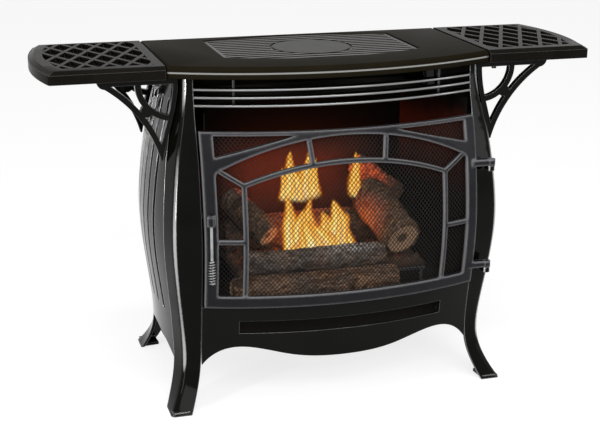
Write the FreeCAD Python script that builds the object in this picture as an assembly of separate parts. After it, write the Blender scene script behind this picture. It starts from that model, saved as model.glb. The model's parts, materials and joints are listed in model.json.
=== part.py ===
import FreeCAD, Part
import math
import os

# Free-standing gas heating stove. Millimetres, X to the right, Y to the back, Z up.
V = FreeCAD.Vector
UP = V(0, 0, 1)

# Overall sizes
HEIGHT = 640.0
TOP_THICK = 22.0
TOP_HALF_WIDTH = 306.0
TOP_BACK = 170.0
TOP_OVERHANG = 5.0
TOP_ROUND = 6.0
UNDERSIDE = HEIGHT - TOP_THICK
BOW_AXIS_Y = 528.0
BOW_HALF_ANGLE = 26.0
SEAT_GAP = 0.3

# Legs: corner line of the front right leg, mirrored to the other corners
LEG_MID_Y = 8.0
LEG_EDGE_X = 263.0
LEG_THICK = 7.0
LEG_CORNER_TANGENT = 8.0
LEG_SPLAY = 0.3
LEG_FLANGE = 40.0
LEG_SLANT = 0.28
WAIST_Z = 125.0
BELLY_Z = 325.0
WAIST_X = 295.5
BELLY_X = 312.0
NECK_X = 279.0
WAIST_Y = -145.0
BELLY_Y = -169.0
NECK_Y = -124.0
TOE_HEIGHT = 110.0
TOE_OUT = 33.0
TOE_FORWARD = 43.0
TOE_INNER = 27.0
TOE_FLANGE = 10.0
FOOT_PLATE = 6.0

# Top grille
GRILLE_HALF_WIDTH = 190.0
GRILLE_FRONT = -56.0
GRILLE_BACK = 130.0
GRILLE_FRONT_BOW = 46.0
GRILLE_BACK_BOW = 28.0
GRILLE_LEDGE = 6.0
GRILLE_THICK = 6.0
GRILLE_DROP = 2.0
GRILLE_FIT = 1.0
GRILLE_RIM = 7.0
SLAT_PITCH = 19.0
SLAT_GAP = 9.0
DISC_RADIUS = 75.0
DISC_GROOVE = 4.0
GROOVE_DEPTH = 2.5

# Side shelves
SHELF_GAP = 2.5
SHELF_FRONT = -120.0
SHELF_BACK = 178.0
SHELF_CORNER_X = 511.0
SHELF_BULGE = 21.0
SHELF_THICK = 23.0
SHELF_BEVEL_WIDTH = 10.0
SHELF_BEVEL_DROP = 6.0
SHELF_CORNER_ROUND = 6.0
SHELF_PLATE = 9.0
SHELF_WEB = 4.0
FIELD_SIDE = 16.0
FIELD_OUTER = 26.0
FIELD_FRONT = 30.0
FIELD_BACK = 17.0
BAR_WIDTH = 7.0
BAR_PITCH = 42.0
BAR_SLOPE = 0.47

# Shelf brackets
BRACKET_THICK = 12.0
BRACKET_INSET = 15.0
BRACKET_ARM = 9.0
BRACKET_REACH = 143.0
BRACKET_DROP = 148.0
BRACKET_NOSE = 14.0
BRACKET_STRUT = 11.0
BRACKET_SAG = 15.0
BRACKET_TIP = 3.0
BRACKET_GAP = 0.6
QUARTER_RADIUS = 56.0
QUARTER_BAND = 11.0
KNOT_RADIUS = 11.0
SCREW_RADIUS = 2.5
SCREW_HEAD = 4.5
SCREW_HEAD_HEIGHT = 4.0
SCREW_DEPTH = 8.0
SCREW_FIT = 0.2
SCREW_OUT = 36.0

# Side panels
PANEL_THICK = 4.0
PANEL_AXIS = 363.0
PANEL_HALF_ANGLE = 14.0
PANEL_GAP = 0.8
SKIRT_Z = 84.0
SKIRT_ARCH = 28.0
SLOT_COUNT = 5
SLOT_PITCH = 40.0
SLOT_WIDTH = 15.0
SLOT_BOTTOM = 172.0
SLOT_TOP_DROP = 45.0

# Louvres under the top
LOUVRE_COUNT = 3
LOUVRE_DROP = 17.0
LOUVRE_PITCH = 14.0
LOUVRE_THICK = 5.0
LOUVRE_DEPTH = 18.0
LOUVRE_END_GAP = 0.3
POST_X = 194.0
POST_RADIUS = 3.0
POST_SETBACK = 8.0
POST_FIT = 0.15

# Door
DOOR_HALF_WIDTH = 260.0
DOOR_BOTTOM = 207.0
DOOR_TOP_DROP = 89.0
DOOR_TOP = UNDERSIDE - DOOR_TOP_DROP
DOOR_THICK = 10.0
DOOR_CLEARANCE = 1.0
DOOR_PROUD = DOOR_THICK + DOOR_CLEARANCE
STILE = 22.0
RAIL = 23.0
ARCH_CROWN_DROP = 9.0
ARCH_SPRING_DROP = 62.0
ARCH_CORNER_IN = 15.0
SPANDREL_TOP = 6.0
SPANDREL_DEPTH = 38.0
SPANDREL_LENGTH = 146.0
BAR = 8.0
BAR_RECESS = 2.5
INNER_ARCH_X = 190.0
INNER_CROWN_DROP = 55.0
INNER_SPRING_DROP = 92.0
RADIAL_TOP_X = 74.0
RADIAL_LOW_X = 67.0
SHORT_BAR_DROP = 193.0

# Mesh screen behind the door
MESH_THICK = 1.2
MESH_MARGIN = 12.0
MESH_COLUMNS = 15
MESH_ROWS = 10
MESH_STRAND = 3.0
CLIP_THICK = 2.5
CLIP_WIDTH = 16.0
CLIP_LAP = 8.0

# Hinges
HINGE_X = 289.0
HINGE_Y = -184.5
HINGE_HIGH_Z = 437.0
HINGE_LOW_Z = 236.0
ARM_HEIGHT = 12.0
ARM_DEPTH = 14.0
ARM_NOSE = 8.0
PIN_RADIUS = 3.5
PIN_FIT = 0.05
LUG_HEIGHT = 10.0
LUG_WIDTH = 15.0
HINGE_GAP = 0.4

# Handle and latch
HANDLE_X = 248.0
HANDLE_Z = 379.0
SPINDLE_RADIUS = 4.0
SPINDLE_FIT = 0.05
HUB_WIDTH = 14.0
HUB_HEIGHT = 20.0
HUB_DEPTH = 16.0
HUB_GAP = 2.0
HANDLE_DROP = 118.0
ROD_RADIUS = 3.0
ROD_STAND = 10.0
COIL_WIRE = 2.6
COIL_TURNS = 9
COIL_PITCH = 4.9
COIL_FIT = 0.3
CAM_THICK = 4.0
CAM_WIDTH = 12.0
CAM_REACH = 30.0
CAM_GAP = 4.0

# Apron
APRON_THICK = 5.0
APRON_GAP = 4.0
APRON_END_GAP = 0.4
VENT_HALF = 197.0
VENT_LOW = 150.0
VENT_HIGH = 175.0
WAVE_TIP_Z = 83.0
WAVE_CREST_Z = 121.0
WAVE_CREST_X = 204.0
WAVE_MID_Z = 95.0

# Base pan and controls
PAN_Z = 102.0
PAN_SHEET = 2.0
PAN_FRONT = -112.0
PAN_BACK = 128.0
PAN_LIP = 15.0
PANEL_TOP_Z = 166.0
CONTROL_X = 228.0
CONTROL_Z = 144.0
STEM_RADIUS = 4.0
STEM_FIT = 0.05
STEM_TRAVEL = 4.0
KNOB_RADIUS = 17.0
KNOB_LENGTH = 18.0
KNOB_GAP = 6.0
KNOB_FLUTES = 12
VALVE_WIDTH = 56.0
VALVE_DEPTH = 70.0
BUTTON_RADIUS = 7.0
BUTTON_TRAVEL = 5.0
BUTTON_STAND = 8.0
IGNITER_RADIUS = 10.0
IGNITER_LENGTH = 55.0
CONTROL_FIT = 0.05

# Gas line
INLET_X = 200.0
INLET_Z = 150.0
INLET_OUTER = 13.0
INLET_BORE = 7.5
INLET_LENGTH = 24.0
REGULATOR_RADIUS = 30.0
REGULATOR_HEIGHT = 26.0
PIPE_RADIUS = 7.0
TUBE_RADIUS = 5.0
PILOT_TUBE_RADIUS = 3.0
TUBE_BEND = 14.0

# Firebox
FLOOR_Z = 200.0
SHEET = 2.0
BOX_FRONT_X = 250.0
BOX_FRONT_Y = -150.0
BOX_BACK_X = 205.0
BOX_BACK_Y = 76.0
BOX_LIP = 12.0
BOX_LIP_TOP = 470.0
HOOD_DROP = 60.0
HOOD_FRONT_Y = -60.0
FLOOR_SETBACK = 16.0
STAND_X = 180.0
STAND_FRONT_Y = -90.0
STAND_BACK_Y = 50.0
STAND_FRAME = 16.0

# Burner, grate and logs
BURNER_RADIUS = 8.0
BURNER_HALF = 150.0
BURNER_LIFT = 13.0
BURNER_FRONT_Y = -85.0
BURNER_BACK_Y = -20.0
PORT_RADIUS = 1.5
PORT_PITCH = 16.0
SADDLE_X = 110.0
SADDLE_WIDTH = 6.0
GRATE_HALF = 185.0
GRATE_FRONT_Y = -130.0
GRATE_BACK_Y = 66.0
GRATE_BAR = 6.0
GRATE_BARS = 5
BED_Z = 228.0
BED_THICK = 8.0
BED_SLOT = 12.0
BED_TOP = BED_Z + BED_THICK
LOW_LOG_RADIUS = 27.0
FRONT_LOG_RADIUS = 25.0
REAR_LOG_RADIUS = 38.0
LEFT_LOG_RADIUS = 28.0
RIGHT_LOG_RADIUS = 36.0
TOP_LOG_RADIUS = 24.0
TOP_LOG_SEAT = 15.0
LOG_SINK = 3.0
CRADLE = 22.0


def box(x0, x1, y0, y1, z0, z1):
    """Box between two corners."""
    return Part.makeBox(x1 - x0, y1 - y0, z1 - z0, V(x0, y0, z0))


def rod(start, end, radius):
    """Round bar from one point to another."""
    return Part.makeCylinder(radius, (end - start).Length, start, end - start)


def polygon(points):
    """Closed straight-sided face."""
    return Part.Face(Part.makePolygon(list(points) + [points[0]]))


def spline(points):
    """Smooth edge through points."""
    curve = Part.BSplineCurve()
    curve.interpolate(points)
    return curve.toShape()


def loop_face(edges):
    """Face inside edges that follow one another."""
    return Part.Face(Part.Wire(edges))


def line(a, b):
    """Straight edge."""
    return Part.LineSegment(a, b).toShape()


def arc(a, b, c):
    """Circular edge through three points."""
    return Part.Arc(a, b, c).toShape()


def along_y(face, y0, y1):
    """Prism of a front-view face drawn at y = 0."""
    moved = face.copy()
    moved.translate(V(0, y0, 0))
    return moved.extrude(V(0, y1 - y0, 0))


def flip_x(shape):
    """Copy on the other side of the stove."""
    return shape.mirror(V(0, 0, 0), V(1, 0, 0))


def flip_y(shape):
    """Copy at the other end, front to back, about the legs' middle."""
    return shape.mirror(V(0, LEG_MID_Y, 0), V(0, 1, 0))


# Profiles of the legs


def station_curve(stations):
    """Curve of a value against height, kept in the XY plane."""
    curve = Part.BSplineCurve()
    curve.interpolate([V(z, value, 0) for z, value in stations])
    return curve


def rise(share):
    """Height of a point between the belly and the underside of the top."""
    return BELLY_Z + share * (UNDERSIDE - BELLY_Z)


def body_stations(waist, belly, neck):
    """Stations of the S line: straight shank, belly, drawn-in neck."""
    hip = waist + 0.58 * (belly - waist)
    return [(0.0, waist), (WAIST_Z, waist), ((WAIST_Z + BELLY_Z) / 2, hip), (BELLY_Z, belly),
            (rise(0.34), belly - 0.18 * (belly - neck)), (rise(0.6), belly - 0.5 * (belly - neck)),
            (rise(0.8), belly - 0.85 * (belly - neck)), (UNDERSIDE, neck)]


X_CURVE = station_curve(body_stations(WAIST_X, BELLY_X, NECK_X))
Y_CURVE = station_curve(body_stations(WAIST_Y, BELLY_Y, NECK_Y))


def curve_at(curve, z):
    """Value of a station curve at a height."""
    low, high = curve.FirstParameter, curve.LastParameter
    for _ in range(48):
        middle = (low + high) / 2
        if curve.value(middle).x < z:
            low = middle
        else:
            high = middle
    return curve.value(low).y


def toe(z):
    """Share of the toe's flare at a height."""
    return max(0.0, 1 - z / TOE_HEIGHT) ** 2


def corner_x(z):
    return curve_at(X_CURVE, z) + TOE_OUT * toe(z)


def corner_y(z):
    return curve_at(Y_CURVE, z) - TOE_FORWARD * toe(z)


def inner_x(z):
    return LEG_EDGE_X + TOE_INNER * toe(z)


def edge_y(z):
    """Front face of the leg at its inner edge."""
    return corner_y(z) - LEG_SPLAY * (1 - toe(z)) * (corner_x(z) - inner_x(z))


def flange_depth(z):
    return LEG_FLANGE + TOE_FLANGE * toe(z)


def flange_x(z, y):
    """Outer face of the leg's side flange."""
    return corner_x(z) + LEG_SLANT * (1 - toe(z)) * (y - corner_y(z))


def bow_radius(z, proud):
    """Radius of the bowed front that stands proud of the legs' inner edges by a set amount."""
    return math.hypot(BOW_AXIS_Y - edge_y(z), LEG_EDGE_X) + proud


def bow_y(x, z, proud):
    """Front surface of the bow at a place across it."""
    return BOW_AXIS_Y - math.sqrt(bow_radius(z, proud) ** 2 - x ** 2)


def leg_section(z):
    """L section with a rounded outer corner."""
    inner = V(inner_x(z), edge_y(z), z)
    corner = V(corner_x(z), corner_y(z), z)
    back_y = corner.y + flange_depth(z)
    back = V(flange_x(z, back_y), back_y, z)
    to_inner = (inner - corner).normalize()
    to_back = (back - corner).normalize()
    start = corner + to_inner * LEG_CORNER_TANGENT
    end = corner + to_back * LEG_CORNER_TANGENT
    half = to_inner.getAngle(to_back) / 2
    bisector = (to_inner + to_back).normalize()
    nearest = LEG_CORNER_TANGENT / math.cos(half) - LEG_CORNER_TANGENT * math.tan(half)
    inner_corner = corner + bisector * (LEG_THICK / math.sin(half))
    into_front = V(0, -LEG_THICK / to_inner.x, 0)
    into_side = V(-LEG_THICK / to_back.y, 0, 0)
    return Part.Wire([line(inner, start), arc(start, corner + bisector * nearest, end), line(end, back),
                      line(back, back + into_side), line(back + into_side, inner_corner),
                      line(inner_corner, inner + into_front), line(inner + into_front, inner)])


def leg():
    """Front right leg with its foot plate."""
    heights = [TOE_HEIGHT * share for share in (0.0, 0.12, 0.3, 0.6)]
    heights += [WAIST_Z + (BELLY_Z - WAIST_Z) * i / 3 for i in range(3)]
    heights += [rise(i / 7) for i in range(8)]
    post = Part.makeLoft([leg_section(z) for z in heights], True, False)
    section = leg_section(0.0)
    foot = [edge.Vertexes[0].Point for edge in section.OrderedEdges]
    far = V(foot[0].x, foot[4].y - LEG_THICK, 0)
    overlap = LEG_THICK / 2
    plate = polygon([foot[6] - V(-overlap, overlap, 0), foot[5] + V(overlap, -overlap, 0),
                     foot[4] + V(overlap, -overlap, 0), far]).extrude(V(0, 0, FOOT_PLATE))
    return post.fuse(plate).removeSplitter()


def hinge_lug(z):
    """Lug on the leg under a hinge arm, bored for the pin."""
    top = z - HINGE_GAP
    back = corner_y(z) + LEG_THICK / 2
    lug = box(HINGE_X - LUG_WIDTH / 2, HINGE_X + LUG_WIDTH / 2, HINGE_Y, back, top - LUG_HEIGHT, top)
    nose = rod(V(HINGE_X, HINGE_Y, top - LUG_HEIGHT), V(HINGE_X, HINGE_Y, top), LUG_WIDTH / 2)
    bore = rod(V(HINGE_X, HINGE_Y, top - 2 * LUG_HEIGHT), V(HINGE_X, HINGE_Y, top + 1), PIN_RADIUS + PIN_FIT)
    return lug.fuse(nose).cut(bore)


def hinge_leg():
    """Front right leg with the two hinge lugs cast on."""
    shape = leg()
    for z in (HINGE_HIGH_Z, HINGE_LOW_Z):
        shape = shape.fuse(hinge_lug(z))
    return shape.removeSplitter()


# Bowed front pieces


def bowed_shell(proud, thickness, z_low, z_high):
    """Bowed and bellied sheet between two heights."""
    count = 8
    heights = [z_low + (z_high - z_low) * i / (count - 1) for i in range(count)]
    outer = [V(0, BOW_AXIS_Y - bow_radius(z, proud), z) for z in heights]
    inner = [p + V(0, thickness, 0) for p in outer]
    face = loop_face([spline(outer), line(outer[-1], inner[-1]), spline(inner[::-1]), line(inner[0], outer[0])])
    face.rotate(V(0, BOW_AXIS_Y, 0), UP, -BOW_HALF_ANGLE)
    return face.revolve(V(0, BOW_AXIS_Y, 0), UP, 2 * BOW_HALF_ANGLE)


FRONT_NEAR = BELLY_Y - 200.0
FRONT_FAR = BELLY_Y + 130.0


def front_prism(face):
    """Front-view face carried through the whole bowed front."""
    return along_y(face, FRONT_NEAR, FRONT_FAR)


def front_rect(x0, x1, z0, z1):
    return front_prism(polygon([V(x0, 0, z0), V(x1, 0, z0), V(x1, 0, z1), V(x0, 0, z1)]))


def top_outline(inset):
    """Plan of the top: straight back and ends, bowed front."""
    half = TOP_HALF_WIDTH - inset
    radius = bow_radius(UNDERSIDE, TOP_OVERHANG) - inset
    back = TOP_BACK - inset
    corner = BOW_AXIS_Y - math.sqrt(radius ** 2 - half ** 2)
    a, b = V(-half, back, 0), V(half, back, 0)
    c, d = V(half, corner, 0), V(-half, corner, 0)
    return [line(a, b), line(b, c), arc(c, V(0, BOW_AXIS_Y - radius, 0), d), line(d, a)]


def grille_outline(inset):
    """Plan of the grille: short straight ends, bowed front and back."""
    half = GRILLE_HALF_WIDTH - inset
    front, back = GRILLE_FRONT, GRILLE_BACK
    a, b = V(-half, front, 0), V(half, front, 0)
    c, d = V(half, back, 0), V(-half, back, 0)
    return loop_face([arc(a, V(0, front - GRILLE_FRONT_BOW + inset, 0), b), line(b, c),
                      arc(c, V(0, back + GRILLE_BACK_BOW - inset, 0), d), line(d, a)])


def lifted(face, z0, z1):
    """Prism of a plan-view face between two heights."""
    moved = face.copy()
    moved.translate(V(0, 0, z0))
    return moved.extrude(V(0, 0, z1 - z0))


GRILLE_TOP = HEIGHT - GRILLE_DROP
GRILLE_SEAT = GRILLE_TOP - GRILLE_THICK
DISC_Y = (GRILLE_FRONT + GRILLE_BACK - GRILLE_FRONT_BOW + GRILLE_BACK_BOW) / 2


def top_plate():
    """Bowed top with a rebated opening for the grille."""
    plate = lifted(loop_face(top_outline(0)), UNDERSIDE, HEIGHT)
    rim = [e for e in plate.Edges if abs(e.BoundBox.ZMin - HEIGHT) < 0.01 and abs(e.BoundBox.ZMax - HEIGHT) < 0.01]
    plate = plate.makeFillet(TOP_ROUND, rim)
    plate = plate.cut(lifted(grille_outline(0), GRILLE_SEAT, HEIGHT + 1))
    return plate.cut(lifted(grille_outline(GRILLE_LEDGE), UNDERSIDE - 1, GRILLE_SEAT + 1))


def top_grille():
    """Slatted plate with a plain disc at its centre."""
    plate = lifted(grille_outline(GRILLE_FIT), GRILLE_SEAT, GRILLE_TOP)
    field = lifted(grille_outline(GRILLE_FIT + GRILLE_RIM), GRILLE_SEAT - 1, GRILLE_TOP + 1)
    centre = V(0, DISC_Y, GRILLE_SEAT - 2)
    keep = Part.makeCylinder(DISC_RADIUS + DISC_GROOVE, GRILLE_THICK + 4, centre)
    groove = Part.makeCylinder(DISC_RADIUS + DISC_GROOVE, GROOVE_DEPTH, V(0, DISC_Y, GRILLE_TOP - GROOVE_DEPTH))
    groove = groove.cut(Part.makeCylinder(DISC_RADIUS, GRILLE_THICK, V(0, DISC_Y, GRILLE_SEAT)))
    front = field.BoundBox.YMin
    count = int((field.BoundBox.YMax - front) / SLAT_PITCH) + 1
    for i in range(count):
        y = front + i * SLAT_PITCH
        gap = box(-GRILLE_HALF_WIDTH, GRILLE_HALF_WIDTH, y, y + SLAT_GAP, GRILLE_SEAT - 1, GRILLE_TOP + 1)
        plate = plate.cut(gap.common(field).cut(keep))
    return plate.cut(groove)


def louvre(index):
    """One bowed slat with a rounded front edge."""
    top = UNDERSIDE - LOUVRE_DROP - index * LOUVRE_PITCH
    middle = top - LOUVRE_THICK / 2
    nose = LOUVRE_THICK / 2
    front = BOW_AXIS_Y - bow_radius(middle, 0)
    back = front + LOUVRE_DEPTH
    low = middle - nose
    face = loop_face([arc(V(0, front + nose, low), V(0, front, middle), V(0, front + nose, top)),
                      line(V(0, front + nose, top), V(0, back, top)), line(V(0, back, top), V(0, back, low)),
                      line(V(0, back, low), V(0, front + nose, low))])
    face.rotate(V(0, BOW_AXIS_Y, 0), UP, -BOW_HALF_ANGLE)
    slat = face.revolve(V(0, BOW_AXIS_Y, 0), UP, 2 * BOW_HALF_ANGLE)
    half = LEG_EDGE_X - LOUVRE_END_GAP
    slat = slat.common(front_rect(-half, half, low - 1, top + 1))
    for side in (-1, 1):
        hole = rod(V(side * POST_X, POST_Y, low - 1), V(side * POST_X, POST_Y, top + 1), POST_RADIUS + POST_FIT)
        slat = slat.cut(hole)
    return slat


POST_Y = bow_y(POST_X, UNDERSIDE - LOUVRE_DROP, 0) + POST_SETBACK
POST_LOW = UNDERSIDE - LOUVRE_DROP - (LOUVRE_COUNT - 1) * LOUVRE_PITCH - LOUVRE_THICK


def louvre_posts():
    """Two posts that hang the slats from the top."""
    return Part.makeCompound([rod(V(side * POST_X, POST_Y, POST_LOW), V(side * POST_X, POST_Y, UNDERSIDE),
                                  POST_RADIUS) for side in (-1, 1)])


APRON_TOP = DOOR_BOTTOM - APRON_GAP


def apron():
    """Bowed apron with a long slot and a waved lower edge."""
    half = LEG_EDGE_X - APRON_END_GAP
    wave = spline([V(-half, 0, WAVE_TIP_Z), V(-WAVE_CREST_X, 0, WAVE_CREST_Z),
                   V(-WAVE_CREST_X / 2, 0, (WAVE_CREST_Z + 2 * WAVE_MID_Z) / 3), V(0, 0, WAVE_MID_Z),
                   V(WAVE_CREST_X / 2, 0, (WAVE_CREST_Z + 2 * WAVE_MID_Z) / 3), V(WAVE_CREST_X, 0, WAVE_CREST_Z),
                   V(half, 0, WAVE_TIP_Z)])
    a, b = V(half, 0, APRON_TOP), V(-half, 0, APRON_TOP)
    outline = loop_face([wave, line(V(half, 0, WAVE_TIP_Z), a), line(a, b), line(b, V(-half, 0, WAVE_TIP_Z))])
    sheet = bowed_shell(0, APRON_THICK, WAVE_TIP_Z - 5, APRON_TOP + 5).common(front_prism(outline))
    return sheet.cut(front_rect(-VENT_HALF, VENT_HALF, VENT_LOW, VENT_HIGH))


# Door


def arched_face(half, bottom, spring, crown, corner_in):
    """Front-view opening with an arched top and eased shoulders."""
    a, b = V(-half, 0, bottom), V(half, 0, bottom)
    right, left = V(half, 0, spring - corner_in), V(-half, 0, spring - corner_in)
    shoulder_r, shoulder_l = V(half - corner_in, 0, spring), V(-half + corner_in, 0, spring)
    ease = corner_in * 0.3
    return loop_face([line(a, b), line(b, right), arc(right, V(half - ease, 0, spring - ease), shoulder_r),
                      arc(shoulder_r, V(0, 0, crown), shoulder_l),
                      arc(shoulder_l, V(-half + ease, 0, spring - ease), left), line(left, a)])


OPENING_HALF = DOOR_HALF_WIDTH - STILE
OPENING_LOW = DOOR_BOTTOM + RAIL


def strip(a, b, width):
    """Front-view straight bar."""
    across = V(-(b - a).z, 0, (b - a).x).normalize() * (width / 2)
    return polygon([a + across, b + across, b - across, a - across])


def door_bars():
    """Front-view faces of the leaded-style bars."""
    x, z = INNER_ARCH_X, DOOR_TOP - INNER_SPRING_DROP
    crown = DOOR_TOP - INNER_CROWN_DROP
    half = BAR / 2
    band = loop_face([arc(V(-x, 0, z + half), V(0, 0, crown + half), V(x, 0, z + half)),
                      line(V(x, 0, z + half), V(x, 0, z - half)),
                      arc(V(x, 0, z - half), V(0, 0, crown - half), V(-x, 0, z - half)),
                      line(V(-x, 0, z - half), V(-x, 0, z + half))])
    bars = [band]
    for side in (-1, 1):
        knee = V(side * x, 0, z)
        shoulder = V(side * OPENING_HALF, 0, DOOR_TOP - ARCH_SPRING_DROP)
        bars.append(strip(knee, shoulder, BAR))
        bars.append(strip(knee + V(0, 0, half), V(side * x, 0, DOOR_BOTTOM), BAR))
        crossing = DOOR_TOP - SHORT_BAR_DROP
        bars.append(strip(V(side * x, 0, crossing), V(side * DOOR_HALF_WIDTH, 0, crossing), BAR))
        bars.append(strip(V(side * RADIAL_LOW_X, 0, crown - BAR), V(side * RADIAL_TOP_X, 0, DOOR_TOP), BAR))
    return bars


def spandrel(side):
    """Front-view triangle in an upper corner."""
    top = DOOR_TOP - SPANDREL_TOP
    return polygon([V(side * OPENING_HALF, 0, top), V(side * OPENING_HALF, 0, top - SPANDREL_DEPTH),
                    V(side * (OPENING_HALF - SPANDREL_LENGTH), 0, top)])


def handle_normal():
    """Turn that carries a piece facing forward onto the stile's own slant."""
    return math.degrees(math.asin(HANDLE_X / bow_radius(HANDLE_Z, DOOR_PROUD)))


HANDLE_POINT = V(-HANDLE_X, bow_y(HANDLE_X, HANDLE_Z, DOOR_PROUD), HANDLE_Z)


def at_handle(shape):
    """Place a piece drawn around the spindle, with forward along -Y."""
    shape.rotate(V(0, 0, 0), UP, -handle_normal())
    shape.translate(HANDLE_POINT)
    return shape


def door_frame():
    """Cast door: frame, bars and hinge arms in one piece."""
    shell = bowed_shell(DOOR_PROUD, DOOR_THICK, DOOR_BOTTOM - 5, DOOR_TOP + 5)
    door = shell.common(front_rect(-DOOR_HALF_WIDTH, DOOR_HALF_WIDTH, DOOR_BOTTOM, DOOR_TOP))
    opening = arched_face(OPENING_HALF, OPENING_LOW, DOOR_TOP - ARCH_SPRING_DROP, DOOR_TOP - ARCH_CROWN_DROP,
                          ARCH_CORNER_IN)
    panes = opening
    for bar in door_bars():
        panes = panes.cut(bar)
    skim = bowed_shell(DOOR_PROUD + BAR_RECESS, 2 * BAR_RECESS, DOOR_BOTTOM, DOOR_TOP)
    door = door.cut(skim.common(front_prism(opening)))
    for pane in panes.Faces:
        door = door.cut(front_prism(pane))
    for side in (-1, 1):
        door = door.cut(front_prism(spandrel(side)))
    bore = at_handle(rod(V(0, -DOOR_THICK, 0), V(0, 2 * DOOR_THICK, 0), SPINDLE_RADIUS + SPINDLE_FIT))
    door = door.cut(bore)
    for z in (HINGE_HIGH_Z, HINGE_LOW_Z):
        door = door.fuse(hinge_arm(z))
    return door.removeSplitter()


def hinge_arm(z):
    """Arm from the right stile over the leg, bored for its pin."""
    start = DOOR_HALF_WIDTH - DOOR_THICK
    back = HINGE_Y + ARM_NOSE
    arm = box(start, HINGE_X, back - ARM_DEPTH, back, z, z + ARM_HEIGHT)
    nose = rod(V(HINGE_X, HINGE_Y, z), V(HINGE_X, HINGE_Y, z + ARM_HEIGHT), ARM_NOSE)
    bore = rod(V(HINGE_X, HINGE_Y, z - 1), V(HINGE_X, HINGE_Y, z + ARM_HEIGHT + 1), PIN_RADIUS)
    return arm.fuse(nose).cut(bore)


def hinge_pins():
    """Pins held by the arms, hanging through the lugs."""
    return Part.makeCompound([rod(V(HINGE_X, HINGE_Y, z - LUG_HEIGHT - 2 * HINGE_GAP),
                                  V(HINGE_X, HINGE_Y, z + ARM_HEIGHT), PIN_RADIUS)
                              for z in (HINGE_HIGH_Z, HINGE_LOW_Z)])


MESH_PROUD = DOOR_CLEARANCE - SEAT_GAP
MESH_HALF = DOOR_HALF_WIDTH - MESH_MARGIN
MESH_LOW = DOOR_BOTTOM + MESH_MARGIN
MESH_HIGH = DOOR_TOP - SPANDREL_TOP / 2


def door_mesh():
    """Bowed screen of diamonds inside the frame's border."""
    sheet = bowed_shell(MESH_PROUD, MESH_THICK, MESH_LOW - 5, MESH_HIGH + 5)
    sheet = sheet.common(front_rect(-MESH_HALF, MESH_HALF, MESH_LOW, MESH_HIGH))
    pitch_x = 2 * MESH_HALF / MESH_COLUMNS
    pitch_z = (MESH_HIGH - MESH_LOW) / MESH_ROWS
    half_x = (pitch_x - MESH_STRAND) / 2
    half_z = (pitch_z - MESH_STRAND) / 2
    diamonds = []
    for row in range(2 * MESH_ROWS - 1):
        shift = row % 2
        for column in range(MESH_COLUMNS - 1 + shift):
            x = -MESH_HALF + pitch_x * (column + 1 - shift / 2)
            z = MESH_LOW + pitch_z * (row + 1) / 2
            diamonds.append(front_prism(polygon([V(x - half_x, 0, z), V(x, 0, z - half_z), V(x + half_x, 0, z),
                                                 V(x, 0, z + half_z)])))
    notch = at_handle(rod(V(0, 0, 0), V(0, 3 * DOOR_THICK, 0), SPINDLE_RADIUS + MESH_STRAND))
    return sheet.cut(Part.makeCompound(diamonds)).cut(notch)


def mesh_clips():
    """Small clips behind the screen's edges."""
    proud = MESH_PROUD - MESH_THICK - SEAT_GAP
    shell = bowed_shell(proud, CLIP_THICK, MESH_LOW - 5, MESH_HIGH + 5)
    clips = []
    for x in (-OPENING_HALF / 2, 0, OPENING_HALF / 2):
        clips.append(shell.common(front_rect(x - CLIP_WIDTH / 2, x + CLIP_WIDTH / 2, MESH_LOW, MESH_LOW + CLIP_LAP)))
    for side in (-1, 1):
        x = side * (MESH_HALF - CLIP_LAP / 2)
        z = (DOOR_BOTTOM + DOOR_TOP) / 2 - CLIP_WIDTH * 3
        clips.append(shell.common(front_rect(x - CLIP_LAP / 2, x + CLIP_LAP / 2, z, z + CLIP_WIDTH)))
    return Part.makeCompound(clips)


# Handle


CAM_Y = DOOR_THICK + LEG_THICK + CAM_GAP


def handle_hub():
    """Block on the stile with a spindle through the door."""
    hub = box(-HUB_WIDTH / 2, HUB_WIDTH / 2, -HUB_DEPTH, -HUB_GAP, -HUB_HEIGHT / 2, HUB_HEIGHT / 2)
    hub = hub.makeFillet(2.0, hub.Edges)
    spindle = rod(V(0, -HUB_DEPTH / 2, 0), V(0, CAM_Y, 0), SPINDLE_RADIUS)
    return at_handle(hub.fuse(spindle))


COIL_LENGTH = COIL_TURNS * COIL_PITCH
COIL_RADIUS = ROD_RADIUS + COIL_FIT + COIL_WIRE / 2


def handle_rod():
    """Rod that hangs from the hub into the coil."""
    return at_handle(rod(V(0, -ROD_STAND, -HUB_HEIGHT / 2), V(0, -ROD_STAND, -HANDLE_DROP), ROD_RADIUS))


def helix_point(turn):
    angle = 2 * math.pi * turn
    return V(COIL_RADIUS * math.cos(angle), COIL_RADIUS * math.sin(angle), COIL_PITCH * turn)


def helix_tangent(turn):
    angle = 2 * math.pi * turn
    return V(-COIL_RADIUS * math.sin(angle), COIL_RADIUS * math.cos(angle), COIL_PITCH / (2 * math.pi)).normalize()


def tangent_arc(start, knee, end):
    """Arc that meets both legs of a knee of equal lengths."""
    middle = (start + end) * 0.5
    height = (knee - middle).Length
    half_chord = (end - start).Length / 2
    sagitta = half_chord * math.tan(math.atan2(height, half_chord) / 2)
    return arc(start, middle + (knee - middle) * (sagitta / height), end)


def biarc(p0, t0, p1, t1):
    """Two arcs that join two points along their tangents."""
    span = p1 - p0
    a = 2 * (1 - t0.dot(t1))
    b = 2 * span.dot(t0 + t1)
    reach = (-b + math.sqrt(b * b + 4 * a * span.dot(span))) / (2 * a)
    knee0 = p0 + t0 * reach
    knee1 = p1 - t1 * reach
    join = (knee0 + knee1) * 0.5
    return [tangent_arc(p0, knee0, join), tangent_arc(join, knee1, p1)]


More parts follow.
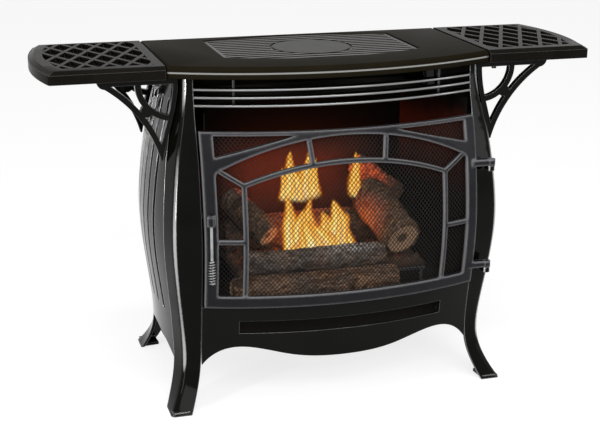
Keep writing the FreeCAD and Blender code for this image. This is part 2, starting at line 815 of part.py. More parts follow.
def handle_coil():
    """Coiled-wire grip as one unbroken tube."""
    quarters = 4 * COIL_TURNS
    edges = [line(helix_point(0) - helix_tangent(0) * COIL_WIRE, helix_point(0))]
    for i in range(quarters):
        a, b = i / 4, (i + 1) / 4
        edges += biarc(helix_point(a), helix_tangent(a), helix_point(b), helix_tangent(b))
    end = helix_point(COIL_TURNS)
    edges.append(line(end, end + helix_tangent(COIL_TURNS) * COIL_WIRE))
    path = Part.Wire(edges)
    start = edges[0].Vertexes[0].Point
    ring = Part.Wire([Part.Circle(start, helix_tangent(0), COIL_WIRE / 2).toShape()])
    tube = path.makePipeShell([ring], True, False)
    points = path.discretize(60 * COIL_TURNS)
    lap = 30
    apart = min((p - q).Length for i, p in enumerate(points) for q in points[i + lap:])
    print("coil: least gap to itself %.2f mm" % (apart - COIL_WIRE))
    tube.translate(V(0, -ROD_STAND, -HANDLE_DROP))
    return at_handle(tube)


def latch_cam():
    """Tongue on the spindle's end that lies behind the left leg."""
    cam = box(-CAM_REACH, CAM_WIDTH / 2, CAM_Y, CAM_Y + CAM_THICK, -CAM_WIDTH / 2, CAM_WIDTH / 2)
    return at_handle(cam)


# Side panels, back and base


def panel_radius(z):
    y = corner_y(z) + flange_depth(z)
    return math.hypot(flange_x(z, y) + PANEL_AXIS, LEG_MID_Y - y)


def side_panel():
    """Right side panel: bowed sheet with tall slots and an arched skirt."""
    count = 9
    low = SKIRT_Z
    heights = [low + (UNDERSIDE - low) * i / (count - 1) for i in range(count)]
    axis = V(-PANEL_AXIS, LEG_MID_Y, 0)
    outer = [V(panel_radius(z) - PANEL_AXIS, LEG_MID_Y, z) for z in heights]
    inner = [p - V(PANEL_THICK, 0, 0) for p in outer]
    face = loop_face([spline(outer), line(outer[-1], inner[-1]), spline(inner[::-1]), line(inner[0], outer[0])])
    face.rotate(axis, UP, -PANEL_HALF_ANGLE)
    sheet = face.revolve(axis, UP, 2 * PANEL_HALF_ANGLE)
    front = [V(0, corner_y(z) + flange_depth(z) + PANEL_GAP, z) for z in heights]
    back = [V(0, 2 * LEG_MID_Y - p.y, p.z) for p in front]
    outline = loop_face([spline(front), line(front[-1], back[-1]), spline(back[::-1]),
                         arc(back[0], V(0, LEG_MID_Y, SKIRT_Z + SKIRT_ARCH), front[0])])
    reach = BELLY_X + PANEL_AXIS
    sheet = sheet.common(outline.extrude(V(reach, 0, 0)))
    for k in range(SLOT_COUNT):
        y = LEG_MID_Y + (k - (SLOT_COUNT - 1) / 2) * SLOT_PITCH
        sheet = sheet.cut(slot_prism(y, SLOT_BOTTOM, UNDERSIDE - SLOT_TOP_DROP, reach))
    return sheet


def slot_prism(y, low, high, reach):
    """Round-ended upright slot cut along X."""
    r = SLOT_WIDTH / 2
    a, b = V(0, y - r, low + r), V(0, y + r, low + r)
    c, d = V(0, y + r, high - r), V(0, y - r, high - r)
    face = loop_face([arc(a, V(0, y, low), b), line(b, c), arc(c, V(0, y, high), d), line(d, a)])
    return face.extrude(V(reach, 0, 0))


PAN_TOP = PAN_Z + PAN_SHEET
PAN_HALF = flange_x(PAN_Z, PAN_FRONT) - LEG_THICK * math.hypot(1, LEG_SLANT) - 1.5 * SEAT_GAP


def base_pan():
    """Folded pan whose front fold is the control panel."""
    pan = box(-PAN_HALF, PAN_HALF, PAN_FRONT, PAN_BACK, PAN_Z, PAN_TOP)
    for side in (-1, 1):
        lip = box(PAN_HALF - PAN_SHEET, PAN_HALF, PAN_FRONT, PAN_BACK, PAN_Z, PAN_Z + PAN_LIP)
        pan = pan.fuse(lip if side > 0 else flip_x(lip))
    pan = pan.fuse(box(-PAN_HALF, PAN_HALF, PAN_FRONT, PAN_FRONT + PAN_SHEET, PAN_Z, PANEL_TOP_Z))
    for x, radius in ((CONTROL_X, STEM_RADIUS + STEM_FIT), (-CONTROL_X, BUTTON_RADIUS + CONTROL_FIT)):
        pan = pan.cut(rod(V(x, PAN_FRONT - 1, CONTROL_Z), V(x, PAN_FRONT + PAN_SHEET + 1, CONTROL_Z), radius))
    return pan.removeSplitter()


def back_panel():
    """Flat back between the rear legs, standing on the pan, with a hole for the gas inlet."""
    half = LEG_EDGE_X
    panel = box(-half, half, PAN_BACK - PAN_SHEET, PAN_BACK, PAN_TOP, UNDERSIDE)
    hole = rod(V(INLET_X, PAN_BACK - 2 * PAN_SHEET, INLET_Z), V(INLET_X, PAN_BACK + 1, INLET_Z),
               INLET_OUTER + SEAT_GAP)
    return panel.cut(hole)


# Shelves and brackets


SHELF_INNER = TOP_HALF_WIDTH + SHELF_GAP
SHELF_BASE = HEIGHT - SHELF_THICK


def shelf_outline(side, outer, front, back):
    """Plan of the right shelf inside given margins, its outer edge a shallow arc."""
    x0, x1 = SHELF_INNER + side, SHELF_CORNER_X - outer
    y0, y1 = SHELF_FRONT + front, SHELF_BACK - back
    a, b = V(x0, y0, 0), V(x1, y0, 0)
    c, d = V(x1, y1, 0), V(x0, y1, 0)
    return loop_face([line(a, b), arc(b, V(x1 + SHELF_BULGE, (y0 + y1) / 2, 0), c), line(c, d), line(d, a)])


def right_shelf():
    """Cast shelf: bevelled border and a sunk diamond lattice."""
    plate = lifted(shelf_outline(0, 0, 0, 0), SHELF_BASE, HEIGHT - SHELF_BEVEL_DROP)
    upright = [e for e in plate.Edges if e.BoundBox.ZLength > SHELF_BEVEL_DROP and e.BoundBox.XMin > SHELF_INNER + 1]
    plate = plate.makeFillet(SHELF_CORNER_ROUND, upright)
    lower = shelf_outline(0, SHELF_BEVEL_DROP / 4, SHELF_BEVEL_DROP / 4, SHELF_BEVEL_DROP / 4)
    upper = shelf_outline(0, SHELF_BEVEL_WIDTH, SHELF_BEVEL_WIDTH, SHELF_BEVEL_WIDTH)
    lower.translate(V(0, 0, HEIGHT - SHELF_BEVEL_DROP))
    upper.translate(V(0, 0, HEIGHT))
    plate = plate.fuse(Part.makeLoft([lower.OuterWire, upper.OuterWire], True, True))
    field = shelf_outline(FIELD_SIDE, FIELD_OUTER, FIELD_FRONT, FIELD_BACK)
    plate = plate.cut(lifted(field, SHELF_BASE - 1, HEIGHT - SHELF_PLATE - SHELF_WEB))
    cells = field.cut(lattice_bars(field))
    for cell in cells.Faces:
        plate = plate.cut(lifted(cell, HEIGHT - SHELF_PLATE, HEIGHT + 1))
    for y in BRACKET_YS:
        plate = plate.cut(rod(screw_seat(y), screw_seat(y) + UP * (BRACKET_ARM + SCREW_DEPTH), SCREW_RADIUS))
    return plate


def lattice_bars(field):
    """Two crossing families of slanting bars over a field."""
    room = field.BoundBox
    reach = BAR_SLOPE * (room.YMax - room.YMin)
    first = int((room.XMin - reach) / BAR_PITCH)
    last = int((room.XMax + reach) / BAR_PITCH) + 1
    half = BAR_WIDTH / 2 * math.hypot(1, BAR_SLOPE)
    middle = SHELF_INNER + FIELD_SIDE
    bars = []
    for i in range(first, last):
        x = middle + (i - first) * BAR_PITCH - 2 * reach
        for lean in (0, 1):
            low = x + reach * lean
            high = x + reach * (1 - lean)
            bars.append(polygon([V(low - half, room.YMin - 1, 0), V(low + half, room.YMin - 1, 0),
                                 V(high + half, room.YMax + 1, 0), V(high - half, room.YMax + 1, 0)]))
    return bars


BRACKET_YS = (SHELF_FRONT + BRACKET_INSET, 2 * LEG_MID_Y - SHELF_FRONT - BRACKET_INSET)


def screw_seat(y):
    """Underside of a bracket's arm where its screw goes in."""
    return V(arm_foot(SHELF_BASE) + SCREW_OUT, y, SHELF_BASE - BRACKET_ARM)


def arm_foot(z):
    """Line of the bracket's upright arm, just clear of the leg's flange."""
    return flange_x(z, BRACKET_YS[0] + BRACKET_THICK / 2) + BRACKET_GAP


def bracket():
    """Front right scroll bracket: upright arm, top arm, strut and quarter ring."""
    top, low = SHELF_BASE, SHELF_BASE - BRACKET_DROP
    arm_low = top - BRACKET_ARM
    heights = [top - BRACKET_DROP * i / 6 for i in range(7)]
    wall = [V(arm_foot(z), 0, z) for z in heights]
    inner = [p + V(BRACKET_ARM, 0, 0) for p in wall]
    tip = V(wall[-1].x + BRACKET_TIP, 0, low)
    nose = V(wall[0].x + BRACKET_REACH, 0, top)
    under = nose - V(BRACKET_NOSE, 0, BRACKET_NOSE)
    round_nose = nose - V(BRACKET_NOSE * 0.25, 0, BRACKET_NOSE * 0.6)
    middle = (under + tip) * 0.5
    inward = V(tip.z - under.z, 0, under.x - tip.x).normalize()
    sag, deep = inward * BRACKET_SAG, inward * BRACKET_STRUT
    outline = loop_face([spline(wall), line(wall[-1], tip), arc(tip, middle + sag, under),
                         arc(under, round_nose, nose), line(nose, wall[0])])
    upright = loop_face([spline(wall), line(wall[-1], inner[-1]), spline(inner[::-1]), line(inner[0], wall[0])])
    top_arm = polygon([wall[0], nose, nose - UP * BRACKET_ARM, wall[0] - UP * BRACKET_ARM])
    strut = loop_face([arc(tip, middle + sag, under), line(under, under + deep),
                       arc(under + deep, middle + sag + deep, tip + deep), line(tip + deep, tip)])
    centre = V(inner[0].x, 0, arm_low)
    ring = disc_face(centre, QUARTER_RADIUS + QUARTER_BAND).cut(disc_face(centre, QUARTER_RADIUS))
    knot = centre + V(1, 0, -1).normalize() * (QUARTER_RADIUS + QUARTER_BAND)
    holes = outline
    for band in (upright, top_arm, strut, ring, disc_face(knot, KNOT_RADIUS)):
        holes = holes.cut(band)
    shape = along_y(outline, BRACKET_YS[0] - BRACKET_THICK / 2, BRACKET_YS[0] + BRACKET_THICK / 2)
    for hole in holes.Faces:
        if hole.Area > BRACKET_ARM ** 2:
            shape = shape.cut(along_y(hole, BRACKET_YS[0] - BRACKET_THICK, BRACKET_YS[0] + BRACKET_THICK))
    seat = screw_seat(BRACKET_YS[0])
    return shape.cut(rod(seat - UP, seat + UP * (BRACKET_ARM + 1), SCREW_RADIUS + SCREW_FIT))


def disc_face(centre, radius):
    """Round front-view face."""
    return Part.Face(Part.Wire([Part.Circle(centre, V(0, 1, 0), radius).toShape()]))


def shelf_screws():
    """One screw up through each bracket's arm into the shelf."""
    screws = []
    for y in BRACKET_YS:
        seat = screw_seat(y)
        screw = rod(seat - UP * SCREW_HEAD_HEIGHT, seat, SCREW_HEAD)
        screw = screw.fuse(rod(seat, seat + UP * (BRACKET_ARM + SCREW_DEPTH - 1), SCREW_RADIUS)).removeSplitter()
        screws += [screw, flip_x(screw)]
    return Part.makeCompound(screws)


# Firebox


HOOD_Z = UNDERSIDE - HOOD_DROP
FLOOR_LOW = FLOOR_Z - SHEET


def firebox_floor():
    """Floor plate with a bowed front edge."""
    plan = polygon([V(-BOX_FRONT_X, BOX_FRONT_Y, 0), V(-BOX_FRONT_X, FRONT_NEAR, 0), V(BOX_FRONT_X, FRONT_NEAR, 0),
                    V(BOX_FRONT_X, BOX_FRONT_Y, 0), V(BOX_BACK_X, BOX_BACK_Y, 0), V(-BOX_BACK_X, BOX_BACK_Y, 0)])
    radius = bow_radius(FLOOR_Z, -FLOOR_SETBACK)
    disc = Part.makeCylinder(radius, SHEET, V(0, BOW_AXIS_Y, FLOOR_LOW))
    return lifted(plan, FLOOR_LOW, FLOOR_Z).common(disc)


def firebox_side():
    """Right wall, slanting inward to the back, with a lip turned out at its front."""
    along = V(BOX_BACK_X - BOX_FRONT_X, BOX_BACK_Y - BOX_FRONT_Y, 0).normalize()
    inward = V(-along.y, along.x, 0) * SHEET
    a, b = V(BOX_FRONT_X, BOX_FRONT_Y, 0), V(BOX_BACK_X, BOX_BACK_Y, 0)
    wall = lifted(polygon([a, b, b + inward, a + inward]), FLOOR_Z, HOOD_Z)
    lip = box(BOX_FRONT_X - SHEET / 2, BOX_FRONT_X + BOX_LIP, BOX_FRONT_Y, BOX_FRONT_Y + SHEET, FLOOR_Z, BOX_LIP_TOP)
    return wall.fuse(lip).removeSplitter()


def firebox_back():
    """Back wall between the side walls."""
    return box(-BOX_BACK_X, BOX_BACK_X, BOX_BACK_Y, BOX_BACK_Y + SHEET, FLOOR_LOW, HOOD_Z)


def firebox_hood():
    """Plate over the back of the firebox, resting on its walls."""
    share = (HOOD_FRONT_Y - BOX_FRONT_Y) / (BOX_BACK_Y - BOX_FRONT_Y)
    front_x = BOX_FRONT_X + share * (BOX_BACK_X - BOX_FRONT_X)
    back = BOX_BACK_Y + SHEET
    plan = polygon([V(-front_x, HOOD_FRONT_Y, 0), V(front_x, HOOD_FRONT_Y, 0), V(BOX_BACK_X, back, 0),
                    V(-BOX_BACK_X, back, 0)])
    return lifted(plan, HOOD_Z, HOOD_Z + SHEET)


def firebox_stand():
    """Folded stand between the pan and the floor, on the right."""
    web = box(STAND_X, STAND_X + SHEET, STAND_FRONT_Y, STAND_BACK_Y, PAN_TOP, FLOOR_LOW)
    fold = box(STAND_X - PAN_LIP, STAND_X + SHEET, STAND_FRONT_Y, STAND_BACK_Y, FLOOR_LOW - SHEET, FLOOR_LOW)
    window = box(STAND_X - 1, STAND_X + SHEET + 1, STAND_FRONT_Y + STAND_FRAME, STAND_BACK_Y - STAND_FRAME,
                 PAN_TOP + STAND_FRAME / 2, FLOOR_LOW - STAND_FRAME / 2)
    return web.fuse(fold).removeSplitter().cut(window)


# Burner, grate and logs


BURNER_Z = FLOOR_Z + BURNER_LIFT


def burner():
    """Two ported tubes joined at their ends."""
    tubes = None
    for y in (BURNER_FRONT_Y, BURNER_BACK_Y):
        tube = rod(V(-BURNER_HALF, y, BURNER_Z), V(BURNER_HALF, y, BURNER_Z), BURNER_RADIUS)
        tubes = tube if tubes is None else tubes.fuse(tube)
    for side in (-1, 1):
        x = side * (BURNER_HALF - BURNER_RADIUS)
        tubes = tubes.fuse(rod(V(x, BURNER_FRONT_Y, BURNER_Z), V(x, BURNER_BACK_Y, BURNER_Z), BURNER_RADIUS * 0.8))
    count = int((2 * BURNER_HALF - 4 * BURNER_RADIUS) / PORT_PITCH)
    ports = []
    for y in (BURNER_FRONT_Y, BURNER_BACK_Y):
        for i in range(count + 1):
            x = (i - count / 2) * PORT_PITCH
            ports.append(rod(V(x, y, BURNER_Z + BURNER_RADIUS / 2), V(x, y, BURNER_Z + 2 * BURNER_RADIUS), PORT_RADIUS))
    return tubes.removeSplitter().cut(Part.makeCompound(ports))


def burner_saddles():
    """Notched plates that carry the tubes above the floor."""
    plates = []
    for side in (-1, 1):
        x = side * SADDLE_X
        plate = box(x - SADDLE_WIDTH / 2, x + SADDLE_WIDTH / 2, BURNER_FRONT_Y - 2 * BURNER_RADIUS,
                    BURNER_BACK_Y + 2 * BURNER_RADIUS, FLOOR_Z, BURNER_Z)
        for y in (BURNER_FRONT_Y, BURNER_BACK_Y):
            plate = plate.cut(rod(V(x - SADDLE_WIDTH, y, BURNER_Z), V(x + SADDLE_WIDTH, y, BURNER_Z),
                                  BURNER_RADIUS + SEAT_GAP))
        plates.append(plate)
    return Part.makeCompound(plates)


def log_grate():
    """Grate on four legs that carries the ember bed."""
    low = BED_Z - GRATE_BAR
    grate = None
    for y in (GRATE_FRONT_Y, GRATE_BACK_Y - GRATE_BAR):
        rail = box(-GRATE_HALF, GRATE_HALF, y, y + GRATE_BAR, low, BED_Z)
        grate = rail if grate is None else grate.fuse(rail)
        for side in (-1, 1):
            x = side * (GRATE_HALF - GRATE_BAR)
            grate = grate.fuse(box(x - GRATE_BAR / 2, x + GRATE_BAR / 2, y, y + GRATE_BAR, FLOOR_Z, low))
    for i in range(GRATE_BARS):
        x = (i / (GRATE_BARS - 1) - 0.5) * 2 * (GRATE_HALF - GRATE_BAR)
        grate = grate.fuse(box(x - GRATE_BAR / 2, x + GRATE_BAR / 2, GRATE_FRONT_Y, GRATE_BACK_Y, low, BED_Z))
    return grate.removeSplitter()


LOW_LOG = (V(-205, -159, FLOOR_Z + LOW_LOG_RADIUS - LOG_SINK), V(114, -163, FLOOR_Z + LOW_LOG_RADIUS - LOG_SINK))
FRONT_LOG = (V(-170, -115, BED_TOP + FRONT_LOG_RADIUS - LOG_SINK), V(104, -117, BED_TOP + FRONT_LOG_RADIUS - LOG_SINK))
REAR_LOG = (V(-178, 32, BED_TOP + REAR_LOG_RADIUS - LOG_SINK), V(196, 32, BED_TOP + REAR_LOG_RADIUS - LOG_SINK))
LEFT_LOG = (V(-110, -66, BED_TOP + 58), V(-166, 28, BED_TOP + 112))
RIGHT_LOG = (V(141, -124, BED_TOP + 49), V(112, 12, BED_TOP + 108))
TOP_LOG = (V(188, 40, BED_TOP + 2 * REAR_LOG_RADIUS + TOP_LOG_SEAT - LOG_SINK), V(98, 43, BED_TOP + 161))
LOG_SWELL = (0.94, 1.0, 0.97, 1.0, 0.92)


def log_solid(ends, radius, extra):
    """Slightly uneven round log between two end centres."""
    start, end = ends
    axis = (end - start).normalize()
    rings = []
    for i, swell in enumerate(LOG_SWELL):
        place = start + (end - start) * (i / (len(LOG_SWELL) - 1))
        rings.append(Part.Wire([Part.Circle(place, axis, radius * swell + extra).toShape()]))
    return Part.makeLoft(rings, True, True)


def resting_log(ends, radius, seat):
    """Log flattened where it lies on the bed or the floor."""
    body = log_solid(ends, radius, 0)
    return body.common(box(-GRATE_HALF * 2, GRATE_HALF * 2, FRONT_NEAR, TOP_BACK, seat, HEIGHT))


def ember_bed():
    """Bed over the grate: flame slots, and cradles under the leaning logs."""
    bed = box(-GRATE_HALF, GRATE_HALF, GRATE_FRONT_Y, GRATE_BACK_Y, BED_Z, BED_TOP)
    for y in (BURNER_FRONT_Y, BURNER_BACK_Y):
        half = BURNER_HALF - 2 * BURNER_RADIUS
        bed = bed.cut(box(-half, half, y - BED_SLOT / 2, y + BED_SLOT / 2, BED_Z - 1, BED_TOP + 1))
    for ends, radius in ((LEFT_LOG, LEFT_LOG_RADIUS), (RIGHT_LOG, RIGHT_LOG_RADIUS)):
        foot = ends[0] + (ends[1] - ends[0]) * 0.2
        cradle = box(foot.x - CRADLE, foot.x + CRADLE, foot.y - CRADLE / 4, foot.y + CRADLE / 4, BED_Z, foot.z)
        bed = bed.fuse(cradle.cut(log_solid(ends, radius, SEAT_GAP)))
    return bed.removeSplitter()


# Gas train and controls


def bent_tube(points, radius, bend):
    """Tube along straight runs with round bends."""
    edges = []
    at = points[0]
    for before, knee, after in zip(points, points[1:], points[2:]):
        into = (knee - before).normalize()
        out = (after - knee).normalize()
        cut = bend * math.tan(into.getAngle(out) / 2)
        start = knee - into * cut
        end = knee + out * cut
        edges.append(line(at, start))
        edges.append(tangent_arc(start, knee, end))
        at = end
    edges.append(line(at, points[-1]))
    ring = Part.Wire([Part.Circle(points[0], points[1] - points[0], radius).toShape()])
    return Part.Wire(edges).makePipeShell([ring], True, False)


PANEL_BACK = PAN_FRONT + PAN_SHEET
STEM_REST = PANEL_BACK + STEM_TRAVEL + 2.0
VALVE_FRONT = STEM_REST + 6.0
VALVE_BACK = VALVE_FRONT + VALVE_DEPTH
STEM_BORE = 30.0


def gas_valve():
    """Valve body on the pan, bored for its stem."""
    half = VALVE_WIDTH / 2
    body = box(CONTROL_X - half, CONTROL_X + half, VALVE_FRONT, VALVE_BACK, PAN_TOP, CONTROL_Z + half * 0.8)
    return body.cut(rod(V(CONTROL_X, VALVE_FRONT - 1, CONTROL_Z), V(CONTROL_X, VALVE_FRONT + STEM_BORE, CONTROL_Z),
                        STEM_RADIUS + STEM_FIT))


KNOB_BACK = PAN_FRONT - KNOB_GAP


def valve_stem():
    """Stem between the knob and the valve."""
    return rod(V(CONTROL_X, KNOB_BACK, CONTROL_Z), V(CONTROL_X, VALVE_FRONT + STEM_BORE - STEM_TRAVEL - 2, CONTROL_Z),
               STEM_RADIUS)


def control_knob():
    """Fluted knob on the stem's end."""
    front = KNOB_BACK - KNOB_LENGTH
    knob = rod(V(CONTROL_X, front, CONTROL_Z), V(CONTROL_X, KNOB_BACK, CONTROL_Z), KNOB_RADIUS)
    for i in range(KNOB_FLUTES):
        angle = 2 * math.pi * i / KNOB_FLUTES
        place = V(CONTROL_X + KNOB_RADIUS * math.cos(angle), front - 1, CONTROL_Z + KNOB_RADIUS * math.sin(angle))
        knob = knob.cut(rod(place, place + V(0, KNOB_LENGTH * 0.7, 0), KNOB_RADIUS * 0.12))
    return knob


def igniter_body():
    """Tube behind the control panel that holds the push button."""
    body = rod(V(-CONTROL_X, PANEL_BACK, CONTROL_Z), V(-CONTROL_X, PANEL_BACK + IGNITER_LENGTH, CONTROL_Z),
               IGNITER_RADIUS)
    bore = rod(V(-CONTROL_X, PANEL_BACK - 1, CONTROL_Z),
               V(-CONTROL_X, PANEL_BACK + BUTTON_STAND + BUTTON_TRAVEL + 2, CONTROL_Z), BUTTON_RADIUS + CONTROL_FIT)
    return body.cut(bore)


def igniter_button():
    """Push button of the igniter."""
    return rod(V(-CONTROL_X, PAN_FRONT - BUTTON_STAND, CONTROL_Z), V(-CONTROL_X, PANEL_BACK + BUTTON_STAND, CONTROL_Z),
               BUTTON_RADIUS)


def gas_regulator():
    """Regulator with the threaded inlet that passes the back panel."""
    end = PAN_BACK + INLET_LENGTH / 2
    start = end - INLET_LENGTH - REGULATOR_RADIUS
    inlet = rod(V(INLET_X, start, INLET_Z), V(INLET_X, end, INLET_Z), INLET_OUTER)
    body = Part.makeCylinder(REGULATOR_RADIUS, INLET_Z - PAN_TOP + REGULATOR_HEIGHT / 2, V(INLET_X, start, PAN_TOP))
    bore = rod(V(INLET_X, end - INLET_LENGTH, INLET_Z), V(INLET_X, end + 1, INLET_Z), INLET_BORE)
    return body.fuse(inlet).cut(bore).removeSplitter()


REGULATOR_Y = PAN_BACK - INLET_LENGTH / 2 - REGULATOR_RADIUS


def inlet_pipe():
    """Pipe from the regulator to the valve."""
    return rod(V(CONTROL_X - VALVE_WIDTH / 4, VALVE_BACK, CONTROL_Z),
               V(CONTROL_X - VALVE_WIDTH / 4, REGULATOR_Y - regulator_reach(), CONTROL_Z), PIPE_RADIUS)


def regulator_reach():
    """How far the regulator's round body reaches at the pipe's place, less a short lap kept outside it."""
    offset = abs(CONTROL_X - VALVE_WIDTH / 4 - INLET_X) - PIPE_RADIUS
    return math.sqrt(REGULATOR_RADIUS ** 2 - max(offset, 0.0) ** 2) + SEAT_GAP


VALVE_SIDE = CONTROL_X - VALVE_WIDTH / 2


def burner_tube():
    """Tube from the valve up through the floor to the burner."""
    y = (VALVE_FRONT + VALVE_BACK) / 2
    x = BURNER_HALF - BURNER_RADIUS
    return bent_tube([V(VALVE_SIDE, y, CONTROL_Z), V(x, y, CONTROL_Z), V(x, y, BURNER_Z - 0.8 * BURNER_RADIUS)],
                     TUBE_RADIUS, TUBE_BEND)


PILOT_X = 60.0
PILOT_Y = (BURNER_FRONT_Y + BURNER_BACK_Y) / 2
PILOT_TOP = BED_Z - SEAT_GAP


def pilot_burner():
    """Pilot with its bracket standing on the floor."""
    bracket_plate = box(PILOT_X - 26, PILOT_X + 14, PILOT_Y - 10, PILOT_Y + 10, FLOOR_Z, FLOOR_Z + SHEET)
    body = rod(V(PILOT_X, PILOT_Y, FLOOR_Z), V(PILOT_X, PILOT_Y, PILOT_TOP - 6), 5.0)
    return bracket_plate.fuse(body).removeSplitter()


def thermocouple():
    """Probe beside the pilot."""
    x = PILOT_X - 11
    return rod(V(x, PILOT_Y, FLOOR_Z + SHEET), V(x, PILOT_Y, PILOT_TOP - 4), 2.0)


def spark_electrode():
    """Ceramic electrode beside the pilot."""
    x = PILOT_X - 20
    return rod(V(x, PILOT_Y, FLOOR_Z + SHEET), V(x, PILOT_Y, PILOT_TOP - 2), 3.0)


PILOT_TUBE_Z = CONTROL_Z + VALVE_WIDTH * 0.25


def pilot_tube():
    """Thin tube from the valve to the underside of the pilot."""
    y = PILOT_Y
    return bent_tube([V(VALVE_SIDE, y, PILOT_TUBE_Z), V(PILOT_X, y, PILOT_TUBE_Z), V(PILOT_X, y, FLOOR_Z)],
                     PILOT_TUBE_RADIUS, TUBE_BEND)


def ignition_lead():
    """Lead from the igniter to the electrode's foot."""
    y = PANEL_BACK + IGNITER_LENGTH
    x = PILOT_X - 20
    z = FLOOR_LOW - 16
    return bent_tube([V(-CONTROL_X, y, CONTROL_Z), V(-CONTROL_X, y + 30, CONTROL_Z), V(-CONTROL_X, y + 30, z),
                      V(x, y + 30, z), V(x, PILOT_Y, z), V(x, PILOT_Y, FLOOR_Z)], 2.0, 10.0)


def floor_with_holes():
    """Floor plate with the holes that the tubes and the lead pass through."""
    plate = firebox_floor()
    tube_y = (VALVE_FRONT + VALVE_BACK) / 2
    for x, y, radius in ((BURNER_HALF - BURNER_RADIUS, tube_y, TUBE_RADIUS), (PILOT_X, PILOT_Y, PILOT_TUBE_RADIUS),
                         (PILOT_X - 20, PILOT_Y, 2.0)):
        plate = plate.cut(rod(V(x, y, FLOOR_LOW - 1), V(x, y, FLOOR_Z + 1), radius + SEAT_GAP))
    return plate


# Place the origin at the middle of the footprint


FRONT_MOST = min(bow_y(0, BELLY_Z, MESH_PROUD), bow_y(0, OPENING_LOW, DOOR_PROUD))
BACK_MOST = 2 * LEG_MID_Y - corner_y(0)


def save(name, shape):
    """Write one piece in the stove's own frame."""
    moved = shape.copy()
    moved.translate(V(0, -(FRONT_MOST + BACK_MOST) / 2, 0))
    moved.exportStep("parts/%s.step" % name)


def main():
    os.makedirs("parts", exist_ok=True)
    save("top_plate", top_plate())
    save("top_grille", top_grille())
    shelf = right_shelf()
    save("right_shelf", shelf)
    save("left_shelf", flip_x(shelf))
    scroll = bracket()
    save("bracket_front_right", scroll)
    save("bracket_front_left", flip_x(scroll))
    save("bracket_rear_right", flip_y(scroll))
    save("bracket_rear_left", flip_x(flip_y(scroll)))
    save("shelf_screws", shelf_screws())
    plain = leg()
    save("leg_front_right", hinge_leg())
    save("leg_front_left", flip_x(plain))
    save("leg_rear_right", flip_y(plain))
    save("leg_rear_left", flip_x(flip_y(plain)))
    side = side_panel()
    save("side_panel_right", side)
    save("side_panel_left", flip_x(side))
    save("back_panel", back_panel())
    for i, name in enumerate(("upper", "middle", "lower")):
        save("louvre_%s" % name, louvre(i))
    save("louvre_posts", louvre_posts())
    save("apron", apron())
    save("base_pan", base_pan())
    save("firebox_floor", floor_with_holes())
    save("firebox_back", firebox_back())
    save("firebox_right", firebox_side())
    save("firebox_left", flip_x(firebox_side()))
    save("firebox_hood", firebox_hood())
    save("firebox_stand_right", firebox_stand())
    save("firebox_stand_left", flip_x(firebox_stand()))
    save("burner", burner())
    save("burner_saddles", burner_saddles())
    save("log_grate", log_grate())
    save("ember_bed", ember_bed())
    save("log_low", resting_log(LOW_LOG, LOW_LOG_RADIUS, FLOOR_Z))
    save("log_front", resting_log(FRONT_LOG, FRONT_LOG_RADIUS, BED_TOP))
    save("log_rear", resting_log(REAR_LOG, REAR_LOG_RADIUS, BED_TOP))
    save("log_left", log_solid(LEFT_LOG, LEFT_LOG_RADIUS, 0))
    save("log_right", log_solid(RIGHT_LOG, RIGHT_LOG_RADIUS, 0))
    save("log_top", log_solid(TOP_LOG, TOP_LOG_RADIUS, 0))
    save("pilot_burner", pilot_burner())
    save("thermocouple", thermocouple())
    save("spark_electrode", spark_electrode())
    save("ignition_lead", ignition_lead())
    save("gas_valve", gas_valve())
    save("gas_regulator", gas_regulator())
    save("inlet_pipe", inlet_pipe())
    save("burner_tube", burner_tube())
    save("pilot_tube", pilot_tube())
    save("valve_stem", valve_stem())
    save("control_knob", control_knob())
    save("igniter_body", igniter_body())
    save("igniter_button", igniter_button())
    save("door_frame", door_frame())
    save("hinge_pins", hinge_pins())
    save("door_mesh", door_mesh())
    save("mesh_clips", mesh_clips())
    save("handle_hub", handle_hub())
    save("handle_rod", handle_rod())
    save("handle_coil", handle_coil())
    save("latch_cam", latch_cam())


main()
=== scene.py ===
import json
import logging
import math
from dataclasses import dataclass
from enum import Enum
from typing import Any, Callable, Dict, Mapping, Optional, Sequence, Tuple, Union

import bpy
import numpy as np
from mathutils import Matrix, Vector


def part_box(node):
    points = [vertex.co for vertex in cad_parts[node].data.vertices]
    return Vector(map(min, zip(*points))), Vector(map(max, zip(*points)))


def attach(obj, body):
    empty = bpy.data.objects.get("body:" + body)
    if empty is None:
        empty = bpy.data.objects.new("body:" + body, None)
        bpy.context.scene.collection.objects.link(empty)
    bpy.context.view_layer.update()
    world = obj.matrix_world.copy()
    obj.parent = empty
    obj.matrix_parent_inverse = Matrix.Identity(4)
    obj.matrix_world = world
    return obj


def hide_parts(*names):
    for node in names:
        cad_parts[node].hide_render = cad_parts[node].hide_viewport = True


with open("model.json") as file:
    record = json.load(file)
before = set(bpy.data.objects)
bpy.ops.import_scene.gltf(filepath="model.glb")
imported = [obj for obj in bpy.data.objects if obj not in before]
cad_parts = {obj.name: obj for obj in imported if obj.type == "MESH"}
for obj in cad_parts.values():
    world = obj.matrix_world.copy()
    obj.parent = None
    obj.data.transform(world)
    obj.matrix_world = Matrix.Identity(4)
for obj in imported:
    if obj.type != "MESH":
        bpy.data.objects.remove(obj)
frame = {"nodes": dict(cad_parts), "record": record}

LOG = logging.getLogger("gas_stove")
Material = bpy.types.Material
Colour = Tuple[float, float, float]
Point = Tuple[float, float, float]
Pair = Tuple[float, float]
Waves = Tuple[int, float, int]
Value = Union["Sock", float]
WHITE = (1.0, 1.0, 1.0, 1.0)
FIT_DEGREE = 6

# Shader maths


def operator(operation: str, swapped: bool = False) -> Callable[["Sock", Value], "Sock"]:
    """A method that adds one Math node, with the other value first where it is swapped."""

    def apply(self: "Sock", other: Value) -> "Sock":
        """Work on the value and another one."""
        return self.shader.math(operation, *((other, self) if swapped else (self, other)))

    return apply


